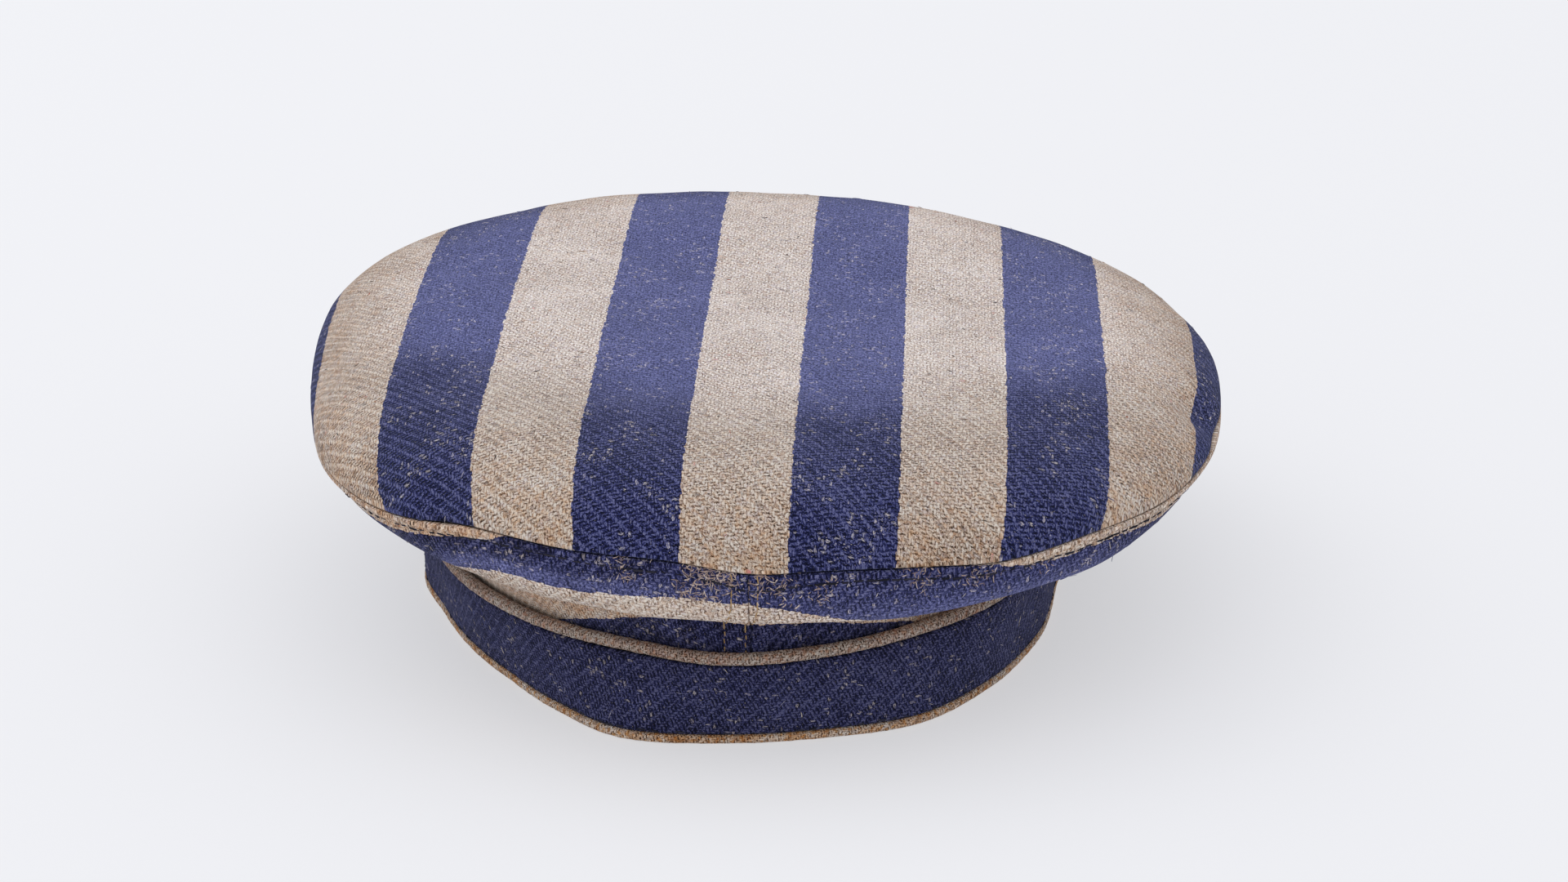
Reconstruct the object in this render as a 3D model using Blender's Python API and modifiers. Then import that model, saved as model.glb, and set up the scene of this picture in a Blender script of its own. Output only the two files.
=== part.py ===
# Striped round cap: a soft wool crown, a ring in two halves and a turned-up band.
# Metres, +Z up, the front of the cap towards -Y, resting on its band at Z = 0.
# Azimuth 0 is the front, 90 the wearer's left side (+X), 180 the split at the back.
import math
from collections import namedtuple

import bmesh
import bpy
from mathutils import Matrix, Vector

# Driving dimensions
CROWN_RADIUS = 0.1200        # mean radius of the seam between crown and ring
BAND_RADIUS = 0.0930         # mean outer radius of the band at the floor
BAND_HEIGHT = 0.0260         # floor to the top of the band's rolled edge
RING_RISE = 0.0300           # mean height of the crown seam over the band
CROWN_RISE = 0.0186          # height of the crown's middle over the mean seam
CLOTH = 0.0022               # wool cloth of crown, ring and band
LINING_CLOTH = 0.0012        # thin lining inside the band
TOP_ROLL = 0.0030            # diameter of the band's rolled upper edge
FOOT_HEIGHT = 0.0024         # height of the band's folded lower edge
FOOT_PROUD = 0.0003          # how far the lower edge stands out of the band
RING_TAIL = 0.0075           # how deep the ring reaches down inside the band
SEAM_COLLAR = 0.0010         # upright strip of cloth on each side of the crown seam
EDGE_STRIP = 0.0010          # upright strip along the edges of band and lining
SPLIT_FOOT = 0.0250          # width of the back split at the floor
SPLIT_HEAD = 0.0115          # width of the back split at the band's top
GAP = 0.0003                 # clearance between pieces that touch

# How sharply the crown turns down at its edge, at the front and at the back
SHOULDER_FRONT = 8.6
SHOULDER_BACK = 4.0
EDGE_ROUNDNESS = 1.5
EDGE_BULGE = 0.004           # share of the radius that the shoulder swells past the seam

# How finely the soft surfaces are divided
AROUND = 64                  # divisions round the cap
RING_STEPS = 9               # divisions down the ring
BAND_STEPS = 4               # divisions up the band between its edge strips
HALF_STEP = 180.0 / AROUND   # degrees, half of one division
END_COLUMN = 0.6             # degrees, the narrow column at each end of ring halves and band
CROWN_STEPS = (0.0, 0.25, 0.48, 0.66, 0.78, 0.87, 0.93, 0.97, 0.99, 1.0)
UPPER_RIM = -1.0             # row of a surface's upright strip over its curve, which runs 0 to 1
LOWER_RIM = 2.0              # row of the strip under it
WELD = 0.00001               # merge distance for the caps of a tube

# One row for each section of crown and ring. seam_r is a share of CROWN_RADIUS. seam_z and top_z
# are shares of RING_RISE and CROWN_RISE. The ring's crest, where it bulges, and its crease, where
# it turns down into the band, are shares of the way from the band's edge (0) to the seam (1).
Section = namedtuple("Section", "azimuth seam_r seam_z top_z crest_r crest_z crease_r crease_z")
SECTIONS = (
    Section(-165, 1.030, 1.24, 1.36, 0.88, 0.60, 0.22, 0.52),
    Section(-140, 1.050, 1.28, 1.26, 0.84, 0.61, 0.28, 0.43),
    Section(-118, 1.044, 1.20, 1.26, 0.80, 0.74, 0.34, 0.35),
    Section(-92, 0.976, 1.09, 1.24, 0.85, 0.83, 0.36, 0.32),
    Section(-76, 0.972, 0.985, 1.15, 0.82, 0.84, 0.36, 0.33),
    Section(-60, 1.008, 0.91, 1.04, 0.84, 0.83, 0.36, 0.35),
    Section(-49, 1.026, 0.90, 1.03, 0.86, 0.78, 0.36, 0.36),
    Section(-40, 1.032, 0.94, 1.03, 0.84, 0.70, 0.36, 0.36),
    Section(-31, 1.024, 1.01, 1.01, 0.86, 0.60, 0.30, 0.38),
    Section(-20, 1.015, 0.97, 0.98, 0.88, 0.57, 0.24, 0.43),
    Section(-9, 0.998, 0.94, 0.92, 0.90, 0.54, 0.16, 0.45),
    Section(0, 0.978, 0.83, 0.87, 0.92, 0.55, 0.12, 0.49),
    Section(9, 0.975, 0.84, 0.80, 0.93, 0.54, 0.14, 0.46),
    Section(20, 0.970, 0.80, 0.72, 0.94, 0.54, 0.16, 0.46),
    Section(30, 0.974, 0.75, 0.66, 0.93, 0.58, 0.20, 0.44),
    Section(42, 0.986, 0.82, 0.60, 0.90, 0.60, 0.24, 0.38),
    Section(55, 0.982, 0.81, 0.60, 0.86, 0.68, 0.30, 0.36),
    Section(70, 0.966, 0.84, 0.62, 0.84, 0.74, 0.34, 0.33),
    Section(90, 0.950, 0.95, 0.70, 0.80, 0.75, 0.38, 0.28),
    Section(112, 0.975, 0.97, 0.72, 0.82, 0.70, 0.38, 0.30),
    Section(128, 1.018, 0.97, 0.86, 0.84, 0.66, 0.36, 0.34),
    Section(150, 1.018, 1.02, 1.26, 0.86, 0.62, 0.32, 0.44),
    Section(180, 1.020, 1.16, 1.40, 0.88, 0.62, 0.20, 0.56),
)

# One row for each section of the band, as shares of BAND_RADIUS and BAND_HEIGHT.
# The two ends beside the back split turn outwards to points.
BandSection = namedtuple("BandSection", "azimuth foot_r head_r head_z")
BAND_SECTIONS = (
    BandSection(-180, 1.285, 1.215, 1.06),
    BandSection(-172, 1.228, 1.170, 1.06),
    BandSection(-164, 1.115, 1.085, 1.05),
    BandSection(-154, 1.045, 1.035, 1.04),
    BandSection(-135, 1.000, 0.985, 1.01),
    BandSection(-112, 0.998, 0.990, 0.98),
    BandSection(-88, 0.960, 0.970, 0.96),
    BandSection(-72, 0.915, 0.955, 0.95),
    BandSection(-46, 0.945, 1.000, 0.93),
    BandSection(-30, 1.025, 1.035, 0.92),
    BandSection(-18, 1.098, 1.055, 0.92),
    BandSection(-4, 1.068, 1.098, 0.93),
    BandSection(10, 1.038, 1.062, 0.95),
    BandSection(24, 1.020, 1.008, 0.98),
    BandSection(40, 0.925, 0.950, 1.01),
    BandSection(60, 0.835, 0.865, 1.04),
    BandSection(88, 0.790, 0.805, 1.05),
    BandSection(112, 0.890, 0.900, 1.04),
    BandSection(134, 0.992, 0.992, 1.05),
    BandSection(151, 1.082, 1.050, 1.06),
    BandSection(164, 1.142, 1.090, 1.07),
    BandSection(172, 1.218, 1.140, 1.07),
    BandSection(180, 1.285, 1.215, 1.06),
)

# Colour (linear) and roughness of each cloth
CLOTH_FINISH = {
    "striped_crown_cloth": ((0.30, 0.26, 0.23), 0.95),
    "blue_ring_cloth": ((0.055, 0.070, 0.190), 0.95),
    "blue_band_cloth": ((0.035, 0.048, 0.150), 0.95),
    "grey_fold_cloth": ((0.300, 0.235, 0.185), 0.95),
    "tan_fold_cloth": ((0.240, 0.170, 0.110), 0.95),
    "cream_lining_cloth": ((0.620, 0.520, 0.380), 0.90),
}


def section_at(rows, azimuth):
    """Blend a table's rows smoothly at an azimuth in degrees, the table being a closed round."""
    full_turn = 360.0
    count = len(rows) if rows[-1].azimuth - rows[0].azimuth < full_turn else len(rows) - 1
    place = (azimuth - rows[0].azimuth) % full_turn + rows[0].azimuth
    index = max(i for i in range(count) if rows[i].azimuth <= place)

    def row(step):
        turns, wrapped = divmod(index + step, count)
        return rows[wrapped], rows[wrapped].azimuth + turns * full_turn

    before, at_before = row(-1)
    start, at_start = row(0)
    end, at_end = row(1)
    after, at_after = row(2)
    span = at_end - at_start
    t = (place - at_start) / span
    values = []
    for v0, v1, v2, v3 in zip(before[1:], start[1:], end[1:], after[1:]):
        slope_in = (v2 - v0) / (at_end - at_before) * span
        slope_out = (v3 - v1) / (at_after - at_start) * span
        rise = 3 * t ** 2 - 2 * t ** 3
        values.append(v1 + (v2 - v1) * rise + slope_in * (t - 2 * t ** 2 + t ** 3)
                      + slope_out * (t ** 3 - t ** 2))
    return type(start)(azimuth, *values)


def at(azimuth, radius, height):
    """The point at an azimuth in degrees, a radius and a height."""
    turn = math.radians(azimuth)
    return Vector((radius * math.sin(turn), -radius * math.cos(turn), height))


def mix(start, end, share):
    return start + (end - start) * share


def seam_edge(azimuth):
    """Radius and height of the crown seam."""
    section = section_at(SECTIONS, azimuth)
    return CROWN_RADIUS * section.seam_r, BAND_HEIGHT + RING_RISE * section.seam_z


def band_head(azimuth):
    """Outer radius of the band at its top, and the height of its rolled edge."""
    section = section_at(BAND_SECTIONS, azimuth)
    return BAND_RADIUS * section.head_r, BAND_HEIGHT * section.head_z


def band_radius(azimuth, height):
    """Outer radius of the band at a height."""
    section = section_at(BAND_SECTIONS, azimuth)
    share = height / (BAND_HEIGHT * section.head_z)
    return BAND_RADIUS * mix(section.foot_r, section.head_r, share)


def band_face(azimuth, height, inset=0.0):
    """A point on the band's outer face, or set in from it square to the face."""
    point = at(azimuth, band_radius(azimuth, height), height)
    ahead = at(azimuth + HALF_STEP, band_radius(azimuth + HALF_STEP, height), height)
    behind = at(azimuth - HALF_STEP, band_radius(azimuth - HALF_STEP, height), height)
    along = (ahead - behind).normalized()
    outwards = Vector((along.y, -along.x, 0.0))
    return point - outwards * inset


def crown_height(azimuth, share):
    """Height of the crown's plateau at a share of the radius, before its shoulder falls."""
    middle = BAND_HEIGHT + RING_RISE + CROWN_RISE
    edge = BAND_HEIGHT + RING_RISE + CROWN_RISE * section_at(SECTIONS, azimuth).top_z
    return mix(middle, edge, share ** 2)


def crown_point(azimuth, share):
    """Outer surface of the crown: 0 is its middle, 1 is the top of its seam collar."""
    seam_r, seam_z = seam_edge(azimuth)
    front_share = (1 + math.cos(math.radians(azimuth))) / 2
    sharpness = mix(SHOULDER_BACK, SHOULDER_FRONT, front_share)
    fall = max(0.0, 1 - share ** sharpness) ** (1 / EDGE_ROUNDNESS)
    rim_z = seam_z + GAP / 2 + SEAM_COLLAR
    swell = 1 + EDGE_BULGE * 4 * fall * (1 - fall)
    return at(azimuth, seam_r * share * swell, mix(rim_z, crown_height(azimuth, share), fall))


def ring_corners(azimuth):
    """The ring's section from the crown seam down to its hidden edge inside the band."""
    section = section_at(SECTIONS, azimuth)
    seam_r, seam_z = seam_edge(azimuth)
    head_z = band_head(azimuth)[1]
    seam = at(azimuth, seam_r, seam_z - GAP / 2)
    collar = seam - Vector((0.0, 0.0, SEAM_COLLAR))
    inset = (CLOTH + TOP_ROLL) / 2 + GAP
    tail = band_face(azimuth, head_z, inset)
    tail_end = band_face(azimuth, head_z - RING_TAIL + EDGE_STRIP, inset)

    def between(share_r, share_z):
        point = tail.lerp(collar, share_r)
        point.z = mix(tail.z, collar.z, share_z)
        return point

    crest = between(section.crest_r, section.crest_z)
    crease = between(section.crease_r, section.crease_z)
    return seam, collar, crest, crease, tail, tail_end, tail_end - Vector((0.0, 0.0, EDGE_STRIP))


def curve_through(corners, share):
    """A smooth line through corner points, read at a share of their number."""
    place = min(share * (len(corners) - 1), len(corners) - 1 - 1e-9)
    index = int(place)
    t = place - index
    b, c = corners[index], corners[index + 1]
    a = corners[max(index - 1, 0)]
    d = corners[min(index + 2, len(corners) - 1)]
    return 0.5 * (2 * b + (c - a) * t + (2 * a - 5 * b + 4 * c - d) * t ** 2
                  + (3 * b - a - 3 * c + d) * t ** 3)


def ring_point(azimuth, share):
    """Outer surface of the ring, from the crown seam down its curve to its hidden edge."""
    seam, *curve, edge = ring_corners(azimuth)
    if share == UPPER_RIM:
        return seam
    return edge if share == LOWER_RIM else curve_through(curve, share)


def band_azimuth(share, height):
    """Azimuth in degrees along the band: 0 and 1 are its two ends beside the back split."""
    half_split = mix(SPLIT_FOOT, SPLIT_HEAD, height / BAND_HEIGHT) / 2
    end = 180.0 - math.degrees(half_split / band_radius(180.0, height))
    return mix(-end, end, share)


def new_object(name, mesh, finish):
    """Link a mesh as a named object with its own cloth material."""
    colour, roughness = CLOTH_FINISH[finish]
    material = bpy.data.materials.new(finish)
    material.use_nodes = True
    shader = material.node_tree.nodes["Principled BSDF"]
    shader.inputs["Base Color"].default_value = (*colour, 1.0)
    shader.inputs["Roughness"].default_value = roughness
    shader.inputs["Metallic"].default_value = 0.0
    mesh.materials.append(material)
    mesh.shade_smooth()
    piece = bpy.data.objects.new(name, mesh)
    cap.objects.link(piece)
    return piece


def loft(name, point, columns, rows, closed, finish):
    """An open surface through point(column, row), with its faces outwards, and a pole where it closes."""
    surface = bmesh.new()
    grid = []
    for row in rows:
        if closed and row == 0:
            grid.append([surface.verts.new(point(0.0, 0.0))] * len(columns))
        else:
            grid.append([surface.verts.new(point(column, row)) for column in columns])
    steps = len(columns) if closed else len(columns) - 1
    for upper, lower in zip(grid, grid[1:]):
        for k in range(steps):
            ahead = (k + 1) % len(columns)
            corners = [upper[k], lower[k], lower[ahead], upper[ahead]]
            surface.faces.new(dict.fromkeys(corners))
    mesh = bpy.data.meshes.new(name)
    surface.to_mesh(mesh)
    surface.free()
    return new_object(name, mesh, finish)


def give_wall(piece, thickness):
    """Solidify an open surface inwards."""
    wall = piece.modifiers.new("wall", "SOLIDIFY")
    wall.thickness = thickness
    wall.offset = -1.0
    wall.use_even_offset = False


def spread(count, start=0.0, end=1.0):
    return [mix(start, end, k / count) for k in range(count + 1)]


def with_end_columns(count, start, end, width):
    """Even steps between two narrow ones, so that a wall's end stands square to its surface."""
    return (start, *spread(count, start + width, end - width), end)


def band_columns():
    return with_end_columns(AROUND, 0.0, 1.0, END_COLUMN / 360.0)


def make_crown_top():
    """The flat round crown, from its middle over the shoulder to the seam."""
    azimuths = spread(AROUND, -180.0, 180.0)[:-1]

    def point(azimuth, share):
        if share == LOWER_RIM:
            seam_r, seam_z = seam_edge(azimuth)
            return at(azimuth, seam_r, seam_z + GAP / 2)
        return crown_point(azimuth, share)

    crown = loft("crown_top", point, azimuths, (*CROWN_STEPS, LOWER_RIM), True, "striped_crown_cloth")
    give_wall(crown, CLOTH)


def make_side(name, start, end):
    """One half of the ring, between its seams at two azimuths."""
    narrowest = BAND_RADIUS * min(row.head_r for row in BAND_SECTIONS) - CLOTH
    clearance = math.degrees(GAP / 2 / narrowest)
    columns = with_end_columns(AROUND // 2, start + clearance, end - clearance, END_COLUMN)
    rows = (UPPER_RIM, *spread(RING_STEPS), LOWER_RIM)
    side = loft(name, ring_point, columns, rows, False, "blue_ring_cloth")
    give_wall(side, CLOTH)


def make_strip(name, inset, drop, edge, thickness, finish):
    """A strip of cloth round the band, set in from its face, ending a drop below the band's top."""
    def point(share, step):
        low = FOOT_HEIGHT + GAP
        head_z = BAND_HEIGHT
        for _ in range(2):
            high = head_z - drop
            level = mix(high - edge, low + edge, min(max(step, 0.0), 1.0))
            azimuth = band_azimuth(share, level)
            head_z = band_head(azimuth)[1]
        rim = {UPPER_RIM: edge, LOWER_RIM: -edge}.get(step, 0.0)
        return band_face(azimuth, level, inset) + Vector((0.0, 0.0, rim))

    rims = (UPPER_RIM, LOWER_RIM) if edge else ()
    strip = loft(name, point, band_columns(), sorted((*rims, *spread(BAND_STEPS))), False, finish)
    give_wall(strip, thickness)


def make_band_top_fold():
    """The rolled grey edge that tops the band."""
    curve = bpy.data.curves.new("band_top_fold_path", "CURVE")
    curve.dimensions = "3D"
    curve.bevel_depth = TOP_ROLL / 2
    curve.bevel_resolution = 2
    curve.use_fill_caps = True
    line = curve.splines.new("POLY")
    line.points.add(AROUND)
    for point, share in zip(line.points, spread(AROUND)):
        azimuth = band_azimuth(share, BAND_HEIGHT)
        middle = band_face(azimuth, band_head(azimuth)[1], CLOTH / 2) - Vector((0.0, 0.0, TOP_ROLL / 2))
        point.co = (*middle, 1.0)
    path = bpy.data.objects.new("band_top_fold_path", curve)
    cap.objects.link(path)
    mesh = bpy.data.meshes.new_from_object(path.evaluated_get(bpy.context.evaluated_depsgraph_get()))
    mesh.name = "band_top_fold"
    cleaner = bmesh.new()
    cleaner.from_mesh(mesh)
    bmesh.ops.remove_doubles(cleaner, verts=cleaner.verts, dist=WELD)
    cleaner.to_mesh(mesh)
    cleaner.free()
    bpy.data.objects.remove(path)
    new_object("band_top_fold", mesh, "grey_fold_cloth")


def make_band_bottom_fold():
    """The folded tan edge under band and lining, flat where it rests."""
    foot_width = FOOT_PROUD + CLOTH + GAP + LINING_CLOTH

    def point(share, step):
        inset = mix(foot_width - FOOT_PROUD, -FOOT_PROUD, step)
        return band_face(band_azimuth(share, 0.0), 0.0, inset) + Vector((0.0, 0.0, FOOT_HEIGHT))

    foot = loft("band_bottom_fold", point, band_columns(), (0.0, 1.0), False, "tan_fold_cloth")
    give_wall(foot, FOOT_HEIGHT)


def stand_at_origin():
    """Centre the whole cap over the origin by its outermost edges."""
    bpy.context.view_layer.update()
    corners = [piece.matrix_world @ Vector(corner) for piece in cap.objects for corner in piece.bound_box]
    middle = [(min(c[axis] for c in corners) + max(c[axis] for c in corners)) / 2 for axis in (0, 1)]
    for piece in cap.objects:
        piece.data.transform(Matrix.Translation((-middle[0], -middle[1], 0.0)))
    print("cap centred by", [round(value, 6) for value in middle])


for old in list(bpy.data.objects):
    bpy.data.objects.remove(old)
cap = bpy.data.collections.new("striped_cap")
bpy.context.scene.collection.children.link(cap)

make_crown_top()
make_side("side_right", -180.0, 0.0)
make_side("side_left", 0.0, 180.0)
make_strip("band", 0.0, TOP_ROLL + GAP, EDGE_STRIP, CLOTH, "blue_band_cloth")
make_strip("band_lining", CLOTH + GAP, RING_TAIL + GAP, 0.0, LINING_CLOTH, "cream_lining_cloth")
make_band_top_fold()
make_band_bottom_fold()
stand_at_origin()
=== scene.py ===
import math

import bmesh
import bpy
import numpy as np
from mathutils import Matrix, Quaternion, Vector, noise


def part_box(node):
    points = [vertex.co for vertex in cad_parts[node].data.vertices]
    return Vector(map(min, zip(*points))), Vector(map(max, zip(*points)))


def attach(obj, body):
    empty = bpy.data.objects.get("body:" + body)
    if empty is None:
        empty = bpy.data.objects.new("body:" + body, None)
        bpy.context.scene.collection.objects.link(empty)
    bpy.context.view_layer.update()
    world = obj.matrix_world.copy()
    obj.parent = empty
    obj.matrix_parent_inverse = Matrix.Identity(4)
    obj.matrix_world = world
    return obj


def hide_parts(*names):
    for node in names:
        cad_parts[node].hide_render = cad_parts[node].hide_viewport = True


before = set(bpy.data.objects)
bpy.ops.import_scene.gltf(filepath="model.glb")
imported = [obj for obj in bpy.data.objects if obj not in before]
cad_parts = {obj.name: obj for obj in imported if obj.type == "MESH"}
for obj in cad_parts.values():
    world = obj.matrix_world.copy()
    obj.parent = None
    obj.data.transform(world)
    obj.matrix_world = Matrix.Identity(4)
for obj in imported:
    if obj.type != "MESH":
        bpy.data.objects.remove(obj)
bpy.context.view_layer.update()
print("frame loaded:", ", ".join(sorted(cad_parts)))

# The cap's own sizes in metres, as its solids have them
capSizes = {
    "crownRadius": 0.1200,
    "bandRadius": 0.0930,
    "bandHeight": 0.0260,
    "ringRise": 0.0300,
    "crownRise": 0.0186,
    "cloth": 0.0022,
    "liningCloth": 0.0012,
    "topRoll": 0.0030,
    "footHeight": 0.0024,
    "footProud": 0.0003,
    "ringTail": 0.0075,
    "collar": 0.0010,
    "seamRoll": 0.0005,
    "splitFoot": 0.0250,
    "splitHead": 0.0115,
    "gap": 0.0003,
    "shoulderFront": 8.6,
    "shoulderBack": 4.0,
    "edgeRoundness": 1.5,
    "edgeBulge": 0.004,
}

# Columns: azimuth, then shares: seam's radius and height, height of the crown's edge, radius and height
# of the ring's crest, radius and height of its crease
capSections = (
    (-165, 1.030, 1.24, 1.36, 0.88, 0.60, 0.22, 0.52),
    (-140, 1.050, 1.28, 1.26, 0.84, 0.61, 0.28, 0.43),
    (-118, 1.044, 1.20, 1.26, 0.80, 0.74, 0.34, 0.35),
    (-92, 0.976, 1.09, 1.24, 0.85, 0.83, 0.36, 0.32),
    (-76, 0.972, 0.985, 1.15, 0.82, 0.84, 0.36, 0.33),
    (-60, 1.008, 0.91, 1.04, 0.84, 0.83, 0.36, 0.35),
    (-49, 1.026, 0.90, 1.03, 0.86, 0.78, 0.36, 0.36),
    (-40, 1.032, 0.94, 1.03, 0.84, 0.70, 0.36, 0.36),
    (-31, 1.024, 1.01, 1.01, 0.86, 0.60, 0.30, 0.38),
    (-20, 1.015, 0.97, 0.98, 0.88, 0.57, 0.24, 0.43),
    (-9, 0.998, 0.94, 0.92, 0.90, 0.54, 0.16, 0.45),
    (0, 0.978, 0.83, 0.87, 0.92, 0.55, 0.12, 0.49),
    (9, 0.975, 0.84, 0.80, 0.93, 0.54, 0.14, 0.46),
    (20, 0.970, 0.80, 0.72, 0.94, 0.54, 0.16, 0.46),
    (30, 0.974, 0.75, 0.66, 0.93, 0.58, 0.20, 0.44),
    (42, 0.986, 0.82, 0.60, 0.90, 0.60, 0.24, 0.38),
    (55, 0.982, 0.81, 0.60, 0.86, 0.68, 0.30, 0.36),
    (70, 0.966, 0.84, 0.62, 0.84, 0.74, 0.34, 0.33),
    (90, 0.950, 0.95, 0.70, 0.80, 0.75, 0.38, 0.28),
    (112, 0.975, 0.97, 0.72, 0.82, 0.70, 0.38, 0.30),
    (128, 1.018, 0.97, 0.86, 0.84, 0.66, 0.36, 0.34),
    (150, 1.018, 1.02, 1.26, 0.86, 0.62, 0.32, 0.44),
    (180, 1.020, 1.16, 1.40, 0.88, 0.62, 0.20, 0.56),
)

# Columns: azimuth, then shares: band's radius at the floor and at its top, height of its top
bandSections = (
    (-180, 1.285, 1.215, 1.06), (-172, 1.228, 1.170, 1.06), (-164, 1.115, 1.085, 1.05),
    (-154, 1.045, 1.035, 1.04), (-135, 1.000, 0.985, 1.01), (-112, 0.998, 0.990, 0.98),
    (-88, 0.960, 0.970, 0.96), (-72, 0.915, 0.955, 0.95), (-46, 0.945, 1.000, 0.93),
    (-30, 1.025, 1.035, 0.92), (-18, 1.098, 1.055, 0.92), (-4, 1.068, 1.098, 0.93),
    (10, 1.038, 1.062, 0.95), (24, 1.020, 1.008, 0.98), (40, 0.925, 0.950, 1.01),
    (60, 0.835, 0.865, 1.04), (88, 0.790, 0.805, 1.05), (112, 0.890, 0.900, 1.04),
    (134, 0.992, 0.992, 1.05), (151, 1.082, 1.050, 1.06), (164, 1.142, 1.090, 1.07),
    (172, 1.218, 1.140, 1.07), (180, 1.285, 1.215, 1.06),
)


def mix(start, end, share):
    return start + (end - start) * share


def smooth(low, high, value):  # 0 below low, 1 above high, a soft step between
    share = np.clip((value - low) / (high - low), 0.0, 1.0)
    return share * share * (3 - 2 * share)


def hump(value, middle, reach):  # a smooth hump of height 1
    return np.exp(-((value - middle) / reach) ** 2)


def at(azimuth, radius, height):  # a point, by its azimuth from the front, its radius and its height
    turn = np.radians(azimuth)
    return np.stack(np.broadcast_arrays(radius * np.sin(turn), -radius * np.cos(turn), height), -1)


# Reads a table at any azimuths, blended smoothly round the cap; one array for each column
def readTable(rows, azimuth):
    table = np.array(rows, float)
    if table[-1, 0] - table[0, 0] >= 360:
        table = table[:-1]
    knots, count = table[:, 0], len(table)
    place = (np.asarray(azimuth, float) - knots[0]) % 360 + knots[0]
    index = np.searchsorted(knots, place, side="right") - 1

    def row(step):
        turns, wrapped = np.divmod(index + step, count)
        return table[wrapped, 1:], (knots[wrapped] + turns * 360)[..., None]

    before, atBefore = row(-1)
    start, atStart = row(0)
    end, atEnd = row(1)
    after, atAfter = row(2)
    span = atEnd - atStart
    t = (place[..., None] - atStart) / span
    slopeIn = (end - before) / (atEnd - atBefore) * span
    slopeOut = (after - start) / (atAfter - atStart) * span
    values = (start + (end - start) * (3 * t ** 2 - 2 * t ** 3)
              + slopeIn * (t - 2 * t ** 2 + t ** 3) + slopeOut * (t ** 3 - t ** 2))
    return np.moveaxis(values, -1, 0)


def readSlopes(rows, azimuth):  # the same with straight lines between the rows
    table = np.array(rows, float)
    return np.stack([np.interp(azimuth, table[:, 0], column) for column in table[:, 1:].T])


def seamEdge(azimuth):
    seamR, seamZ = readTable(capSections, azimuth)[:2]
    return capSizes["crownRadius"] * seamR, capSizes["bandHeight"] + capSizes["ringRise"] * seamZ


def bandHeadZ(azimuth):
    return capSizes["bandHeight"] * readTable(bandSections, azimuth)[2]


def bandRadiusAt(azimuth, height):
    footR, headR, headZ = readTable(bandSections, azimuth)
    return capSizes["bandRadius"] * mix(footR, headR, height / (capSizes["bandHeight"] * headZ))


# A point on the band's outer face, or set in from it, square to the face
def bandFace(azimuth, height, inset=0.0):
    step = 2.8
    azimuth = np.asarray(azimuth, float)
    point = at(azimuth, bandRadiusAt(azimuth, height), height)
    ahead = at(azimuth + step, bandRadiusAt(azimuth + step, height), height)
    behind = at(azimuth - step, bandRadiusAt(azimuth - step, height), height)
    along = ahead - behind
    along /= np.linalg.norm(along, axis=-1, keepdims=True)
    outwards = np.stack([along[..., 1], -along[..., 0], np.zeros(along.shape[:-1])], -1)
    return point - outwards * inset


def crownPoint(azimuth, share):
    topZ = readTable(capSections, azimuth)[2]
    seamR, seamZ = seamEdge(azimuth)
    frontShare = (1 + np.cos(np.radians(azimuth))) / 2
    sharpness = mix(capSizes["shoulderBack"], capSizes["shoulderFront"], frontShare)
    fall = np.maximum(0.0, 1 - share ** sharpness) ** (1 / capSizes["edgeRoundness"])
    base = capSizes["bandHeight"] + capSizes["ringRise"]
    plateau = base + capSizes["crownRise"] * mix(1.0, topZ, share ** 2)
    rim = seamZ + capSizes["gap"] / 2 + capSizes["collar"]
    swell = 1 + capSizes["edgeBulge"] * 4 * fall * (1 - fall)
    return at(azimuth, seamR * share * swell, mix(rim, plateau, fall))


# The ring's section: lower end of its collar, crest, crease, band's top, hidden edge inside the band
def ringCorners(azimuth):
    crestR, crestZ, creaseR, creaseZ = readTable(capSections, azimuth)[3:]
    seamR, seamZ = seamEdge(azimuth)
    headZ = bandHeadZ(azimuth)
    collar = at(azimuth, seamR, seamZ - capSizes["gap"] / 2 - capSizes["collar"])
    inset = (capSizes["cloth"] + capSizes["topRoll"]) / 2 + capSizes["gap"]
    tail = bandFace(azimuth, headZ, inset)
    edge = bandFace(azimuth, headZ - capSizes["ringTail"], inset)

    def between(shareR, shareZ):
        point = mix(tail, collar, shareR[..., None])
        point[..., 2] = mix(tail[..., 2], collar[..., 2], shareZ)
        return point

    return [collar, between(crestR, crestZ), between(creaseR, creaseZ), tail, edge]


def curveThrough(corners, share):
    place = min(share * (len(corners) - 1), len(corners) - 1 - 1e-9)
    index = int(place)
    t = place - index
    b, c = corners[index], corners[index + 1]
    a = corners[max(index - 1, 0)]
    d = corners[min(index + 2, len(corners) - 1)]
    return 0.5 * (2 * b + (c - a) * t + (2 * a - 5 * b + 4 * c - d) * t ** 2
                  + (3 * b - a - 3 * c + d) * t ** 3)


# Azimuth along the band: share 0 and 1 are its two ends beside the back split
def bandAzimuth(share, height):
    halfSplit = mix(capSizes["splitFoot"], capSizes["splitHead"], height / capSizes["bandHeight"]) / 2
    end = 180.0 - np.degrees(halfSplit / bandRadiusAt(180.0, height))
    return mix(-end, end, share)


# How far the solids were moved to stand over the origin, from the crown's own box
coarse = crownPoint(np.arange(-180, 180, 5.625)[None, :], np.linspace(0.9, 1, 21)[:, None]).reshape(-1, 3)
boxLow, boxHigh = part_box("crown_top")
capShift = np.array((boxLow + boxHigh) / 2) - (coarse.min(0) + coarse.max(0)) / 2
capShift[2] = 0.0
print("cap moved by", [round(float(v), 5) for v in capShift])


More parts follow.
